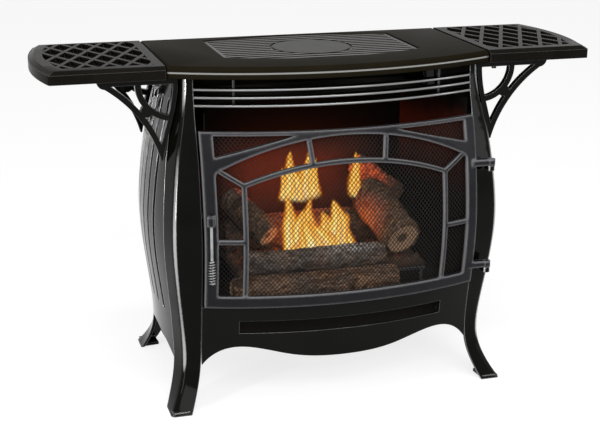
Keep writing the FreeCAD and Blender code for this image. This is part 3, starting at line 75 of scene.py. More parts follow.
class Sock:
    """One node output that plain arithmetic can be written on."""

    __add__, __radd__ = operator("ADD"), operator("ADD", True)
    __sub__, __rsub__ = operator("SUBTRACT"), operator("SUBTRACT", True)
    __mul__, __rmul__ = operator("MULTIPLY"), operator("MULTIPLY", True)
    __pow__ = operator("POWER")

    def __init__(self, shader: "Shader", socket: bpy.types.NodeSocket) -> None:
        """Keep the socket and the shader that owns it."""
        self.shader = shader
        self.socket = socket

    def unsigned(self) -> "Sock":
        """The value without its sign."""
        return self.shader.math("ABSOLUTE", self, 0.0)

    def clamped(self) -> "Sock":
        """The value held between 0 and 1."""
        return self.shader.node("ShaderNodeClamp", {}, {"Value": self})

    def stepped(self, low: float, high: float) -> "Sock":
        """Smooth step of the value from 0 at low to 1 at high."""
        return self.shader.node(
            "ShaderNodeMapRange", {"interpolation_type": "SMOOTHSTEP"},
            {"Value": self, "From Min": low, "From Max": high},
        )


class Shader:
    """The node tree of a material or a world, written as expressions."""

    def __init__(self, name: str, world: Optional[bpy.types.World] = None) -> None:
        """Start an empty tree on a new material of this name, or on a world."""
        self.material = world or bpy.data.materials.new(name)
        self.material.use_nodes = True
        self.tree = self.material.node_tree
        self.tree.nodes.clear()

    def node(
        self,
        kind: str,
        settings: Optional[Mapping[str, Any]] = None,
        sockets: Optional[Mapping[Union[str, int], Any]] = None,
        out: Union[str, int] = 0,
    ) -> Sock:
        """Add one node.

        Args:
            kind: the node's type name.
            settings: properties set first; "stops" holds a ramp's places and colours.
            sockets: values or links of its inputs, by name or index.
            out: which output is wanted.

        Returns:
            The wanted output, ready for arithmetic.
        """
        made = self.tree.nodes.new(kind)
        for key, value in (settings or {}).items():
            if key == "stops":
                elements = made.color_ramp.elements
                while len(elements) < len(value):
                    elements.new(0.5)
                for element, (place, colour) in zip(elements, value):
                    element.position = place
                    element.color = (*colour, 1.0)
            else:
                setattr(made, key, value)
        for key, value in (sockets or {}).items():
            if isinstance(value, Sock):
                self.tree.links.new(value.socket, made.inputs[key])
            else:
                made.inputs[key].default_value = value
        return Sock(self, made.outputs[out])

    def math(self, operation: str, a: Value, b: Value) -> Sock:
        """One Math node on two values."""
        return self.node("ShaderNodeMath", {"operation": operation}, {0: a, 1: b})

    def larger(self, a: Value, b: Value) -> Sock:
        """The larger of two values."""
        return self.math("MAXIMUM", a, b)

    def between(self, operation: str, a: Any, b: Any) -> Sock:
        """One number from two vectors."""
        return self.node("ShaderNodeVectorMath", {"operation": operation}, {0: a, 1: b}, "Value")

    def axis(self, vector: Sock, name: str) -> Sock:
        """One coordinate of a vector."""
        return self.node("ShaderNodeSeparateXYZ", {}, {"Vector": vector}, name)

    def facing(self, kind: str) -> Sock:
        """The way that the surface faces: smooth ("Normal") or flat ("True Normal")."""
        return self.node("ShaderNodeNewGeometry", out=kind)

    def forward(self) -> Sock:
        """How far the smooth surface faces the stove's front."""
        return 0.0 - self.axis(self.facing("Normal"), "Y")

    def mix(self, factor: Value, a: Any, b: Any) -> Sock:
        """Blend of two colours by a factor."""
        sockets = {0: factor, 6: rgba(a), 7: rgba(b)}
        return self.node("ShaderNodeMix", {"data_type": "RGBA"}, sockets, 2)

    def ramp(self, factor: Value, stops: Sequence[Tuple[float, Colour]]) -> Sock:
        """Colour picked along a ramp."""
        return self.node("ShaderNodeValToRGB", {"stops": stops}, {"Fac": factor})

    def place(self, stretch: Point = (1.0, 1.0, 1.0)) -> Sock:
        """Object coordinates, stretched along the axes."""
        coords = self.node("ShaderNodeTexCoord", out="Object")
        return self.node("ShaderNodeMapping", {}, {"Vector": coords, "Scale": stretch})

    def noise(self, scale: float, detail: float = 3.0, roughness: float = 0.5,
              stretch: Point = (1.0, 1.0, 1.0)) -> Sock:
        """Smooth noise over the piece, about 0.5 in the mean.

        Args:
            scale: features per metre.
            detail: number of finer layers.
            roughness: weight of the finer layers.
            stretch: factors on the axes.

        Returns:
            The noise value.
        """
        sockets = {"Vector": self.place(stretch), "Scale": scale, "Detail": detail, "Roughness": roughness}
        return self.node("ShaderNodeTexNoise", {}, sockets)

    def attributes(self, *names: str) -> Sequence[Sock]:
        """Numbers kept on the mesh, in the order of their names."""
        return [self.node("ShaderNodeAttribute", {"attribute_name": name}, out="Fac") for name in names]

    def rounded(self, radius: float) -> Sock:
        """Normal that rounds sharp edges off by a radius in metres."""
        return self.node("ShaderNodeBevel", {"samples": 6}, {"Radius": radius})

    def edges(self, rounded: Sock) -> Sock:
        """Mask that is high along edges, from how far the rounded normal leans from the face's own."""
        lean = self.between("DOT_PRODUCT", rounded, self.facing("True Normal"))
        return (1.0 - lean).stepped(0.03, 0.18)

    def bump(self, height: Value, depth: float, strength: float, normal: Optional[Sock] = None) -> Sock:
        """Normal pushed by a height.

        Args:
            height: the height, 0 to 1.
            depth: the height's span in metres.
            strength: how much of it is used.
            normal: the normal that it starts from.

        Returns:
            The bumped normal.
        """
        sockets: Dict[Union[str, int], Any] = {"Height": height, "Distance": depth, "Strength": strength}
        if normal is not None:
            sockets["Normal"] = normal
        return self.node("ShaderNodeBump", {}, sockets)

    def surface(self, sockets: Mapping[str, Any]) -> Material:
        """Finish the material with one principled surface."""
        self.close(self.node("ShaderNodeBsdfPrincipled", {}, sockets))
        return self.material

    def seen(self) -> Sock:
        """1 for what the eye, reflections and clear glass see, 0 for plain light."""
        rays = ("Is Camera Ray", "Is Glossy Ray", "Is Transmission Ray")
        eye, mirrored, through = (self.node("ShaderNodeLightPath", out=ray) for ray in rays)
        return self.larger(self.larger(eye, mirrored), through)

    def close(self, shader: Sock, kind: str = "ShaderNodeOutputMaterial") -> None:
        """Link a surface to the tree's output."""
        output = self.tree.nodes.new(kind)
        self.tree.links.new(shader.socket, output.inputs["Surface"])


def rgba(colour: Any) -> Any:
    """A colour with its alpha, or a link as it is."""
    return colour if isinstance(colour, Sock) else (*colour, 1.0)


# Finishes


@dataclass(frozen=True)
class Enamel:
    """Glossy or satin enamel over a casting."""

    name: str
    roughness: float
    specular: float
    colour: Colour = (0.0022, 0.0024, 0.0016)
    tint: Colour = (0.0034, 0.0034, 0.0024)
    ripple: float = 0.12
    edge: float = 0.0012
    # Strength of the painted highlight along edges.
    glint: float = 0.0
    # Colour of the painted highlights.
    highlight_colour: Colour = (0.24, 0.24, 0.245)
    # Painted highlight band on front-facing faces near the height nose_z: strength, height and half-width.
    nose: float = 0.0
    nose_z: float = 0.6
    nose_half: float = 1.0
    # Painted highlight streak on corners that face outward and forward.
    corner: float = 0.0

    def make(self) -> Material:
        """Build the enamel: faint cloud of colour, fine ripple, painted highlights on edges, noses and
        corners.
        """
        s = Shader(self.name)
        cloud = s.noise(9.0, 4.0, 0.6)
        speck = s.noise(420.0, 2.0, 0.5)
        eased = s.rounded(self.edge)
        colour = s.mix(cloud.stepped(0.35, 0.7), self.colour, self.tint)
        # Painted highlights: bright metallic bands along edges, varied by the cloud.
        painted_highlight = s.edges(eased) * self.glint * (0.55 + 0.9 * cloud)
        # Painted highlight band on front-facing faces near the height nose_z.
        if self.nose > 0:
            level = (s.axis(s.place(), "Z") - self.nose_z).unsigned()
            band = level.stepped(self.nose_half * 1.5, self.nose_half * 0.5)
            painted_highlight = s.larger(painted_highlight, s.forward().stepped(0.4, 0.8) * band * self.nose)
        # Painted highlight streak on corners that face outward and forward.
        if self.corner > 0:
            across = s.axis(s.facing("Normal"), "X").unsigned()
            outward = (across + s.forward()) * math.sqrt(0.5)
            painted_highlight = s.larger(painted_highlight, outward.stepped(0.95, 0.995) * self.corner)
        painted_highlight = painted_highlight.clamped()
        # The painted highlights set both the colour and Metallic.
        colour = s.mix(painted_highlight, colour, self.highlight_colour)
        rough = self.roughness * (0.8 + 0.4 * s.noise(38.0, 3.0))
        return s.surface({
            "Base Color": colour,
            "Roughness": rough,
            "Metallic": painted_highlight,
            "Specular IOR Level": self.specular,
            "Normal": s.bump(speck, 0.0003, self.ripple, eased),
        })


@dataclass(frozen=True)
class CastIron:
    """Painted casting with a sandy skin, and painted highlights that make edges, tops and sideways faces
    lighter.
    """

    name: str
    colour: Colour
    # Colour of the painted highlights.
    highlight_tint: Colour
    roughness: float
    specular: float
    grain: float
    edge: float
    # Strength of the painted highlight along edges.
    edge_highlight: float
    # Strength of the painted highlight on upward faces, weaker inside the disc (x, y, radius).
    top_highlight: float = 0.0
    disc: Point = (0.0, 0.0, 0.0)
    disc_edge: float = 0.002
    # Strength of the painted highlight on faces turned sideways.
    side_highlight: float = 0.0

    def make(self) -> Material:
        """Build the casting: two grains of bump, mottled paint, painted highlights on edges, tops and flanks.
        """
        s = Shader(self.name)
        eased = s.rounded(self.edge)
        sand = 0.6 * s.noise(900.0, 2.0) + 0.4 * s.noise(190.0, 3.0)
        mottle = s.noise(24.0, 4.0, 0.6)
        deep = tuple(c * 0.75 for c in self.colour)
        colour = s.mix(mottle.stepped(0.3, 0.7), deep, self.colour)
        face = s.facing("True Normal")
        sideways = s.axis(face, "X").unsigned()
        # Painted highlight on upward faces, weaker inside the disc.
        top = s.axis(face, "Z").stepped(0.5, 0.9) * self.top_highlight
        x, y, radius = self.disc
        if radius > 0:
            away = s.between("DISTANCE", s.place((1.0, 1.0, 0.0)), (x, y, 0.0))
            top = top * (0.35 + 0.65 * away.stepped(radius, radius + self.disc_edge))
        # Painted highlights on edges, upward faces and sideways faces lighten the colour.
        highlight_mask = s.larger(s.edges(eased) * self.edge_highlight, top)
        highlight_mask = s.larger(highlight_mask, sideways.stepped(0.6, 0.9) * self.side_highlight)
        colour = s.mix(highlight_mask, colour, self.highlight_tint)
        return s.surface({
            "Base Color": colour,
            "Roughness": self.roughness * (0.85 + 0.3 * mottle),
            "Specular IOR Level": self.specular,
            "Normal": s.bump(sand, 0.0004, self.grain, eased),
        })


@dataclass(frozen=True)
class BareMetal:
    """Bare metal with fine drawing lines."""

    name: str
    colour: Colour
    roughness: float
    lines: Point = (1.0, 1.0, 0.06)
    edge: float = 0.0004

    def make(self) -> Material:
        """Build the metal: drawn lines in roughness and bump, slight staining."""
        s = Shader(self.name)
        drawn = s.noise(1500.0, 2.0, 0.6, self.lines)
        stain = s.noise(60.0, 3.0)
        dull = tuple(c * 0.6 for c in self.colour)
        return s.surface({
            "Base Color": s.mix(stain.stepped(0.35, 0.75), self.colour, dull),
            "Metallic": 1.0,
            "Roughness": self.roughness * (0.7 + 0.6 * drawn),
            "Normal": s.bump(drawn, 0.0002, 0.2, s.rounded(self.edge)),
        })


@dataclass(frozen=True)
class MattCoat:
    """Matt paint, plastic or rubber."""

    name: str
    colour: Colour
    roughness: float
    specular: float
    grain: float = 0.2
    edge: float = 0.0006

    def make(self) -> Material:
        """Build the coat: soft mottling and a fine grain."""
        s = Shader(self.name)
        mottle = s.noise(30.0, 4.0, 0.6)
        grain = s.noise(700.0, 2.0)
        light = tuple(c * 1.4 for c in self.colour)
        return s.surface({
            "Base Color": s.mix(mottle.stepped(0.3, 0.75), self.colour, light),
            "Roughness": self.roughness * (0.85 + 0.3 * mottle),
            "Specular IOR Level": self.specular,
            "Normal": s.bump(grain, 0.0003, self.grain, s.rounded(self.edge)),
        })


@dataclass(frozen=True)
class PatchedSheet:
    """Sheet with a coloured patch near the flames that fades to near-black above, below and beside it."""

    name: str
    patch_colour: Colour
    half_width: float
    patch_top: float
    # Near-black colour around the patch: on the back wall, soot together with painted shade in the recess
    # under the hood.
    soot_and_shade: Colour = (0.004, 0.0035, 0.003)
    middle: float = -0.02
    rises: float = 0.0

    def make(self) -> Material:
        """Build the sheet: a clouded patch that fades to near-black above, below and to the sides."""
        s = Shader(self.name)
        cloud = s.noise(18.0, 4.0, 0.6)
        high = s.axis(s.place(), "Z")
        side = (s.axis(s.place(), "X") - self.middle).unsigned()
        # The patch fades to near-black above, below and to the sides; above it on the back wall this is soot
        # and painted shade.
        patch = (high + cloud * 0.06).stepped(self.patch_top + 0.08, self.patch_top)
        patch = patch * high.stepped(self.rises - 0.07, self.rises + 0.07)
        patch = patch * (side + cloud * 0.05).stepped(self.half_width + 0.05, self.half_width - 0.08)
        return s.surface({
            "Base Color": s.mix(patch, self.soot_and_shade, self.patch_colour),
            "Roughness": 0.75,
            "Specular IOR Level": 0.05,
            "Normal": s.bump(s.noise(600.0, 2.0), 0.0003, 0.2),
        })


@dataclass(frozen=True)
class CharredLog:
    """Ceramic painted as charred bark, with glow where the flames lick it."""

    name: str = "charred_log"
    char: Colour = (0.009, 0.0065, 0.005)
    bark: Colour = (0.085, 0.066, 0.055)
    amber: Colour = (0.15, 0.068, 0.03)
    ash: Colour = (0.3, 0.26, 0.23)
    rust: Colour = (0.5, 0.26, 0.12)
    white: Colour = (0.62, 0.6, 0.57)
    heart: Colour = (0.9, 0.58, 0.36)
    grown: Colour = (0.2, 0.1, 0.055)

    def make(self) -> Material:
        """Build the log: dark cracks, brown ridges, ash specks, ringed ends, ember glow."""
        s = Shader(self.name)
        ridge, glow, cut, ring, warm, dust = s.attributes("ridge", "glow", "cut", "ring", "warm", "dust")
        fine = s.noise(160.0, 5.0, 0.65)
        broad = s.noise(26.0, 3.0)
        tone = (ridge * 0.75 + fine * 0.45 + broad * 0.3 - 0.28).clamped()
        grey = s.ramp(tone, [(0.15, self.char), (0.5, self.bark), (0.95, self.ash)])
        brown = s.ramp(tone, [(0.2, self.char), (0.55, self.amber), (0.95, self.rust)])
        bark = s.mix((warm + (broad - 0.5) * 1.6).clamped(), grey, brown)
        bark = s.mix((dust * fine.stepped(0.42, 0.6)).clamped(), bark, self.white)
        rings = s.math("SINE", ring * 62.0 + fine * 2.0, 0.0) * 0.5 + 0.5
        wood = s.mix(rings * 0.5, self.heart, self.grown)
        wood = s.mix(ring.stepped(0.4, 0.22) * 0.75, wood, self.char)
        wood = s.mix(ring.stepped(0.8, 1.0), wood, self.char)
        colour = s.mix(cut, bark, wood)
        heat = (glow * (0.35 + 1.1 * fine) - 0.18).clamped()
        fire = s.ramp(heat, [
            (0.0, (0.0, 0.0, 0.0)), (0.35, (0.2, 0.022, 0.004)), (0.8, (0.75, 0.16, 0.025)),
        ])
        return s.surface({
            "Base Color": colour,
            "Roughness": 0.9,
            "Specular IOR Level": 0.15,
            "Emission Color": fire,
            "Emission Strength": 1.0,
            "Normal": s.bump(fine, 0.003, 0.6),
        })


@dataclass(frozen=True)
class EmberGlow:
    """Crumbled ceramic with embers alight in its hollows."""

    name: str = "ember_glow"
    dust: Colour = (0.055, 0.035, 0.026)
    crumb: Colour = (0.2, 0.13, 0.085)

    def make(self) -> Material:
        """Build the bed: brown crumbs, dark hollows, sparks of orange near the burner."""
        s = Shader(self.name)
        height, near = s.attributes("ridge", "glow")
        fine = s.noise(240.0, 4.0, 0.65)
        spark = s.noise(95.0, 2.0)
        tone = (height * 0.7 + fine * 0.5 - 0.1).clamped()
        heat = (near * (1.0 - height * 0.6) * spark.stepped(0.48, 0.66)).clamped()
        fire = s.ramp(heat, [
            (0.0, (0.0, 0.0, 0.0)), (0.3, (0.35, 0.04, 0.004)), (0.9, (1.0, 0.3, 0.04)),
        ])
        return s.surface({
            "Base Color": s.mix(tone, self.dust, self.crumb),
            "Roughness": 0.92,
            "Specular IOR Level": 0.15,
            "Emission Color": fire,
            "Emission Strength": 1.0,
            "Normal": s.bump(fine, 0.003, 0.7),
        })


@dataclass(frozen=True)
class FlameLight:
    """Clear flame: pale core, orange body, red thin edges."""

    name: str = "flame_light"

    def make(self) -> Material:
        """Build the flame: heat falls off to the edges and the tip, and sets colour and clearness."""
        s = Shader(self.name)
        across, height, lit = s.attributes("across", "height", "lit")
        streak = s.noise(60.0, 2.0, 0.5, (1.0, 1.0, 0.3))
        body = 1.0 - across ** 1.4
        heat = (body * (1.16 - 0.66 * height) + (streak - 0.5) * 0.55 - 0.05).clamped()
        colour = s.ramp(heat, [
            (0.0, (0.5, 0.05, 0.003)), (0.22, (0.82, 0.2, 0.012)), (0.42, (0.98, 0.46, 0.05)),
            (0.66, (1.0, 0.72, 0.2)), (1.0, (1.0, 0.92, 0.66)),
        ])
        fade = lit.stepped(0.0, 0.16) * height.stepped(1.0, 0.88)
        return s.surface({
            "Base Color": (0.0, 0.0, 0.0, 1.0),
            "Roughness": 1.0,
            "Specular IOR Level": 0.0,
            "Emission Color": colour,
            "Emission Strength": 1.1,
            "Alpha": heat.stepped(0.02, 0.55) * fade,
        })


# Colour of the bright painted highlights on panel ribs and louvre noses.
BRIGHT_HIGHLIGHT: Colour = (0.42, 0.42, 0.425)

# In these finishes, glint, nose and corner, and the cast-iron edge, top and side strengths, set painted
# highlights.
SLOT_FINISHES: Dict[str, Any] = {
    "black_enamel": Enamel("black_enamel", 0.1, 0.09, edge=0.0022, glint=0.5),
    # Painted highlight line along the top plate's front nose.
    "top_enamel": Enamel(
        "top_enamel", 0.16, 0.0006, (0.0122, 0.01, 0.006), (0.015, 0.0123, 0.0076), edge=0.004,
        highlight_colour=(0.55, 0.55, 0.53), nose=0.6, nose_z=0.6285, nose_half=0.0014,
    ),
    "grille_iron": CastIron(
        "grille_iron", (0.004, 0.0037, 0.0033), (0.17, 0.165, 0.16), 0.3, 0.01,
        grain=0.2, edge=0.0012, edge_highlight=0.2, top_highlight=0.75, disc=(0.0, 0.0417, 0.075),
    ),
    "shelf_iron": CastIron(
        "shelf_iron", (0.0105, 0.0092, 0.0076), (0.2, 0.195, 0.185), 0.24, 0.008,
        grain=0.15, edge=0.0018, edge_highlight=0.48,
    ),
    "door_iron": CastIron(
        "door_iron", (0.0135, 0.0137, 0.016), (0.4, 0.4, 0.415), 0.26, 0.1,
        grain=0.25, edge=0.009, edge_highlight=0.6, side_highlight=0.6,
    ),
    "screen_black": MattCoat("screen_black", (0.016, 0.015, 0.014), 0.5, 0.1),
    "black_sheet": MattCoat("black_sheet", (0.012, 0.0105, 0.0095), 0.7, 0.1),
    "steel": BareMetal("bright_steel", (0.5, 0.5, 0.51), 0.28),
    "brass": BareMetal("plain_brass", (0.62, 0.44, 0.17), 0.32),
    "cast_aluminium": BareMetal("cast_aluminium", (0.6, 0.6, 0.61), 0.45, (1.0, 1.0, 1.0)),
    "black_plastic": MattCoat("black_plastic", (0.014, 0.014, 0.014), 0.45, 0.4),
    "lead_rubber": MattCoat("lead_rubber", (0.018, 0.018, 0.018), 0.7, 0.2),
    "log_ceramic": MattCoat("plain_ceramic", (0.12, 0.08, 0.05), 0.9, 0.1),
    "ember_ceramic": MattCoat("rough_ceramic", (0.09, 0.06, 0.04), 0.9, 0.1),
    "white_ceramic": MattCoat("white_ceramic", (0.75, 0.73, 0.69), 0.35, 0.4, 0.05),
}

# Painted highlights: a streak down the legs' outer corners, bright rib edges on the panels, bright louvre
# noses.
LEG_ENAMEL = Enamel("leg_enamel", 0.09, 0.06, edge=0.003, glint=0.5, highlight_colour=(0.5, 0.5, 0.505), corner=0.85)
PANEL_ENAMEL = Enamel("panel_enamel", 0.12, 0.09, edge=0.0035, glint=1.0, highlight_colour=BRIGHT_HIGHLIGHT)
NOSE_ENAMEL = Enamel("nose_enamel", 0.12, 0.09, glint=0.4, highlight_colour=BRIGHT_HIGHLIGHT, nose=0.6)
BLACKENED = BareMetal("blackened_steel", (0.05, 0.05, 0.052), 0.25)
DULL_STEEL = BareMetal("dull_steel", (0.36, 0.36, 0.365), 0.25)
COIL_STEEL = BareMetal("coil_steel", (0.26, 0.26, 0.265), 0.2)
# Back wall: heat-browned patch behind the flames; the near-black above it is soot together with painted shade
# of the recess under the hood.
HEAT_BROWNED_SHADED = PatchedSheet("heat_browned_shaded_sheet", (0.036, 0.016, 0.009), half_width=0.19, patch_top=0.425)
# Side walls: the red band high on the walls is a painted glow of the fire on the near-black sheet.
SIDE_PAINTED_GLOW = PatchedSheet(
    "side_sheet_painted_glow", (0.085, 0.016, 0.008), half_width=0.5, patch_top=0.5, middle=0.2, rises=0.41,
)
NODE_FINISHES: Dict[str, Any] = {
    node: finish
    for finish, nodes in (
        (LEG_ENAMEL, ("leg_front_right", "leg_front_left", "leg_rear_right", "leg_rear_left")),
        (PANEL_ENAMEL, ("side_panel_right", "side_panel_left")),
        (NOSE_ENAMEL, ("louvre_upper", "louvre_middle", "louvre_lower")),
        (BLACKENED, ("louvre_posts", "latch_cam", "hinge_pins", "shelf_screws")),
        (DULL_STEEL, ("handle_rod",)),
        (HEAT_BROWNED_SHADED, ("firebox_back",)),
        (SIDE_PAINTED_GLOW, ("firebox_right", "firebox_left")),
    )
    for node in nodes
}

# Meshes


def grid_quads(rows: int, columns: int, wrap: bool) -> np.ndarray:
    """Quads of a grid of points kept row by row.

    Args:
        rows: rows of points.
        columns: points in a row.
        wrap: whether a row closes on itself.

    Returns:
        Array of point indices, four to a face.
    """
    across = columns if wrap else columns - 1
    i, j = np.meshgrid(np.arange(rows - 1), np.arange(across), indexing="ij")
    k = (j + 1) % columns
    here, above = i * columns, (i + 1) * columns
    return np.stack([here + j, here + k, above + k, above + j], -1).reshape(-1, 4)


def shell_faces(rows: int, columns: int) -> np.ndarray:
    """Quads of a closed shell: a grid of points, a like one after it that faces away, and the rim between."""
    quads = grid_quads(rows, columns, False)
    count = rows * columns
    grid = np.arange(count).reshape(rows, columns)
    rim = np.concatenate([grid[0], grid[1:, -1], grid[-1, -2::-1], grid[-2:0:-1, 0]])
    onward = np.roll(rim, -1)
    skirt = np.stack([rim, rim + count, onward + count, onward], -1)
    return np.concatenate([quads, quads[:, ::-1] + count, skirt])


def points_of(node: str) -> np.ndarray:
    """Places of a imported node's points, one to a row."""
    mesh = frame["nodes"][node].data
    places = np.zeros(len(mesh.vertices) * 3)
    mesh.vertices.foreach_get("co", places)
    return places.reshape(-1, 3)


def fitted(level: np.ndarray, radius: np.ndarray, at: np.ndarray, middle: float) -> np.ndarray:
    """Smooth curve of radius against height, read at other heights.

    Args:
        level: heights that the radius is known at.
        radius: the radius at those heights.
        at: heights that it is wanted at.
        middle: height that the curve is centred on.

    Returns:
        The radius at the wanted heights.
    """
    return np.polyval(np.polyfit(level - middle, radius, FIT_DEGREE), at - middle)


def add_piece(
    name: str,
    points: np.ndarray,
    faces: Sequence[np.ndarray],
    material: Material,
    values: Optional[Mapping[str, np.ndarray]] = None,
    smooth: bool = True,
) -> bpy.types.Object:
    """Put arrays of points and faces into an object.

    Args:
        name: the piece's name.
        points: array of places in metres.
        faces: arrays of point indices, each of one face size.
        material: the piece's finish.
        values: numbers kept on the points, by name.
        smooth: whether faces are shaded smooth.

    Returns:
        The object, linked to the scene.
    """
    mesh = bpy.data.meshes.new(name)
    lists = [face for group in faces for face in group.tolist()]
    mesh.from_pydata(points.reshape(-1, 3).tolist(), [], lists)
    for key, value in (values or {}).items():
        layer = mesh.attributes.new(key, "FLOAT", "POINT")
        layer.data.foreach_set("value", value.reshape(-1).astype(np.float32))
    mesh.polygons.foreach_set("use_smooth", np.full(len(lists), smooth))
    mesh.materials.append(material)
    mesh.update()
    piece = bpy.data.objects.new(name, mesh)
    bpy.context.scene.collection.objects.link(piece)
    LOG.info("%s: %d faces", name, len(lists))
    return piece


def wave_field(u: np.ndarray, v: np.ndarray, seed: int, terms: int, along: float, around: int) -> np.ndarray:
    """Rough field on a tube: a sum of sine waves with seeded phases that meet at the seam.

    Args:
        u: place along the tube, 0 to 1.
        v: angle around it.
        seed: seed of the waves.
        terms: number of waves.
        along: most waves along the length.
        around: most waves around the girth.

    Returns:
        Values of about -1 to 1.
    """
    draw = np.random.default_rng(seed)
    k = draw.integers(1, around + 1, terms)
    m = draw.uniform(-along, along, terms)
    phase = draw.uniform(0, math.tau, terms)
    size = 1.0 / np.sqrt(k)
    waves = np.sin(k[:, None, None] * v + math.tau * m[:, None, None] * u + phase[:, None, None])
    return np.tensordot(size, waves, 1) / np.sqrt((size ** 2).sum())


# Sub-assemblies


@dataclass
class Screen:
    """Expanded-metal fire screen behind the door."""

    pitch_x: float = 0.0078
    pitch_z: float = 0.0094
    strand: float = 0.0011
    thick: float = 0.0008
    samples: int = 26
    cross_gap: float = 0.0002
    axis_y: float = 0.54172
    half: float = 0.2475
    fit_z: float = 0.37

    def radius_of(self, z: np.ndarray) -> np.ndarray:
        """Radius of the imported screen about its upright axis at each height, fitted to its points."""
        places = points_of("door_mesh")
        radius = np.hypot(places[:, 0], places[:, 1] - self.axis_y)
        return fitted(places[:, 2], radius, z, self.fit_z)

    def strands(self, lean: int) -> np.ndarray:
        """Strand corners: lines x = c + lean * slope * z in front view, laid on the bow, with a flat section.

        Args:
            lean: 1 or -1, the way that the strands lean.

        Returns:
            Array of strand, place along it, corner and coordinate.
        """
        low, high = (np.array(v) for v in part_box("door_mesh"))
        half = self.half
        z0, z1 = low[2], high[2]
        slope = lean * self.pitch_x / self.pitch_z
        reach = abs(slope) * (z1 - z0)
        shift = 0.0 if lean > 0 else reach
        count = int((2 * half + reach) / self.pitch_x)
        c = -half - reach + shift + self.pitch_x * (np.arange(count) + 0.5)
        ends = np.stack([(-half - c) / slope, (half - c) / slope])
        start = np.clip(ends.min(0), 0, z1 - z0)
        stop = np.clip(ends.max(0), 0, z1 - z0)
        keep = stop - start > self.pitch_z
        start, stop, c = start[keep], stop[keep], c[keep]
        t = np.linspace(0, 1, self.samples)
        rise = start[:, None] + (stop - start)[:, None] * t
        x = c[:, None] + slope * rise
        z = z0 + rise
        radius = self.radius_of(z) + lean * self.cross_gap
        angle = np.arcsin(x / radius)
        across = np.array([slope, 1.0]) / math.hypot(slope, 1.0)
        corners = []
        for side, depth in ((-1, -1), (1, -1), (1, 1), (-1, 1)):
            r = radius + depth * self.thick / 2
            a = angle + side * across[1] * self.strand / 2 / radius
            corners.append(np.stack([r * np.sin(a), self.axis_y - r * np.cos(a),
                                     z - side * across[0] * self.strand / 2], -1))
        return np.stack(corners, 2)

    def build(self, material: Material) -> None:
        """Make the two families of strands as one piece on the door."""
        points, faces, first = [], [], 0
        for lean in (1, -1):
            corners = self.strands(lean)
            count, rows, around = corners.shape[:3]
            starts = (np.arange(count) * rows * around)[:, None, None] + first
            caps = np.array([[3, 2, 1, 0], [0, 1, 2, 3]]) + np.array([[0], [(rows - 1) * around]])
            for one in (grid_quads(rows, around, True), caps):
                faces.append((one[None] + starts).reshape(-1, 4))
            points.append(corners.reshape(-1, 3))
            first += count * rows * around
        piece = add_piece("fire_screen", np.concatenate(points), faces, material, smooth=False)
        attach(piece, "door")
        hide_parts("door_mesh")


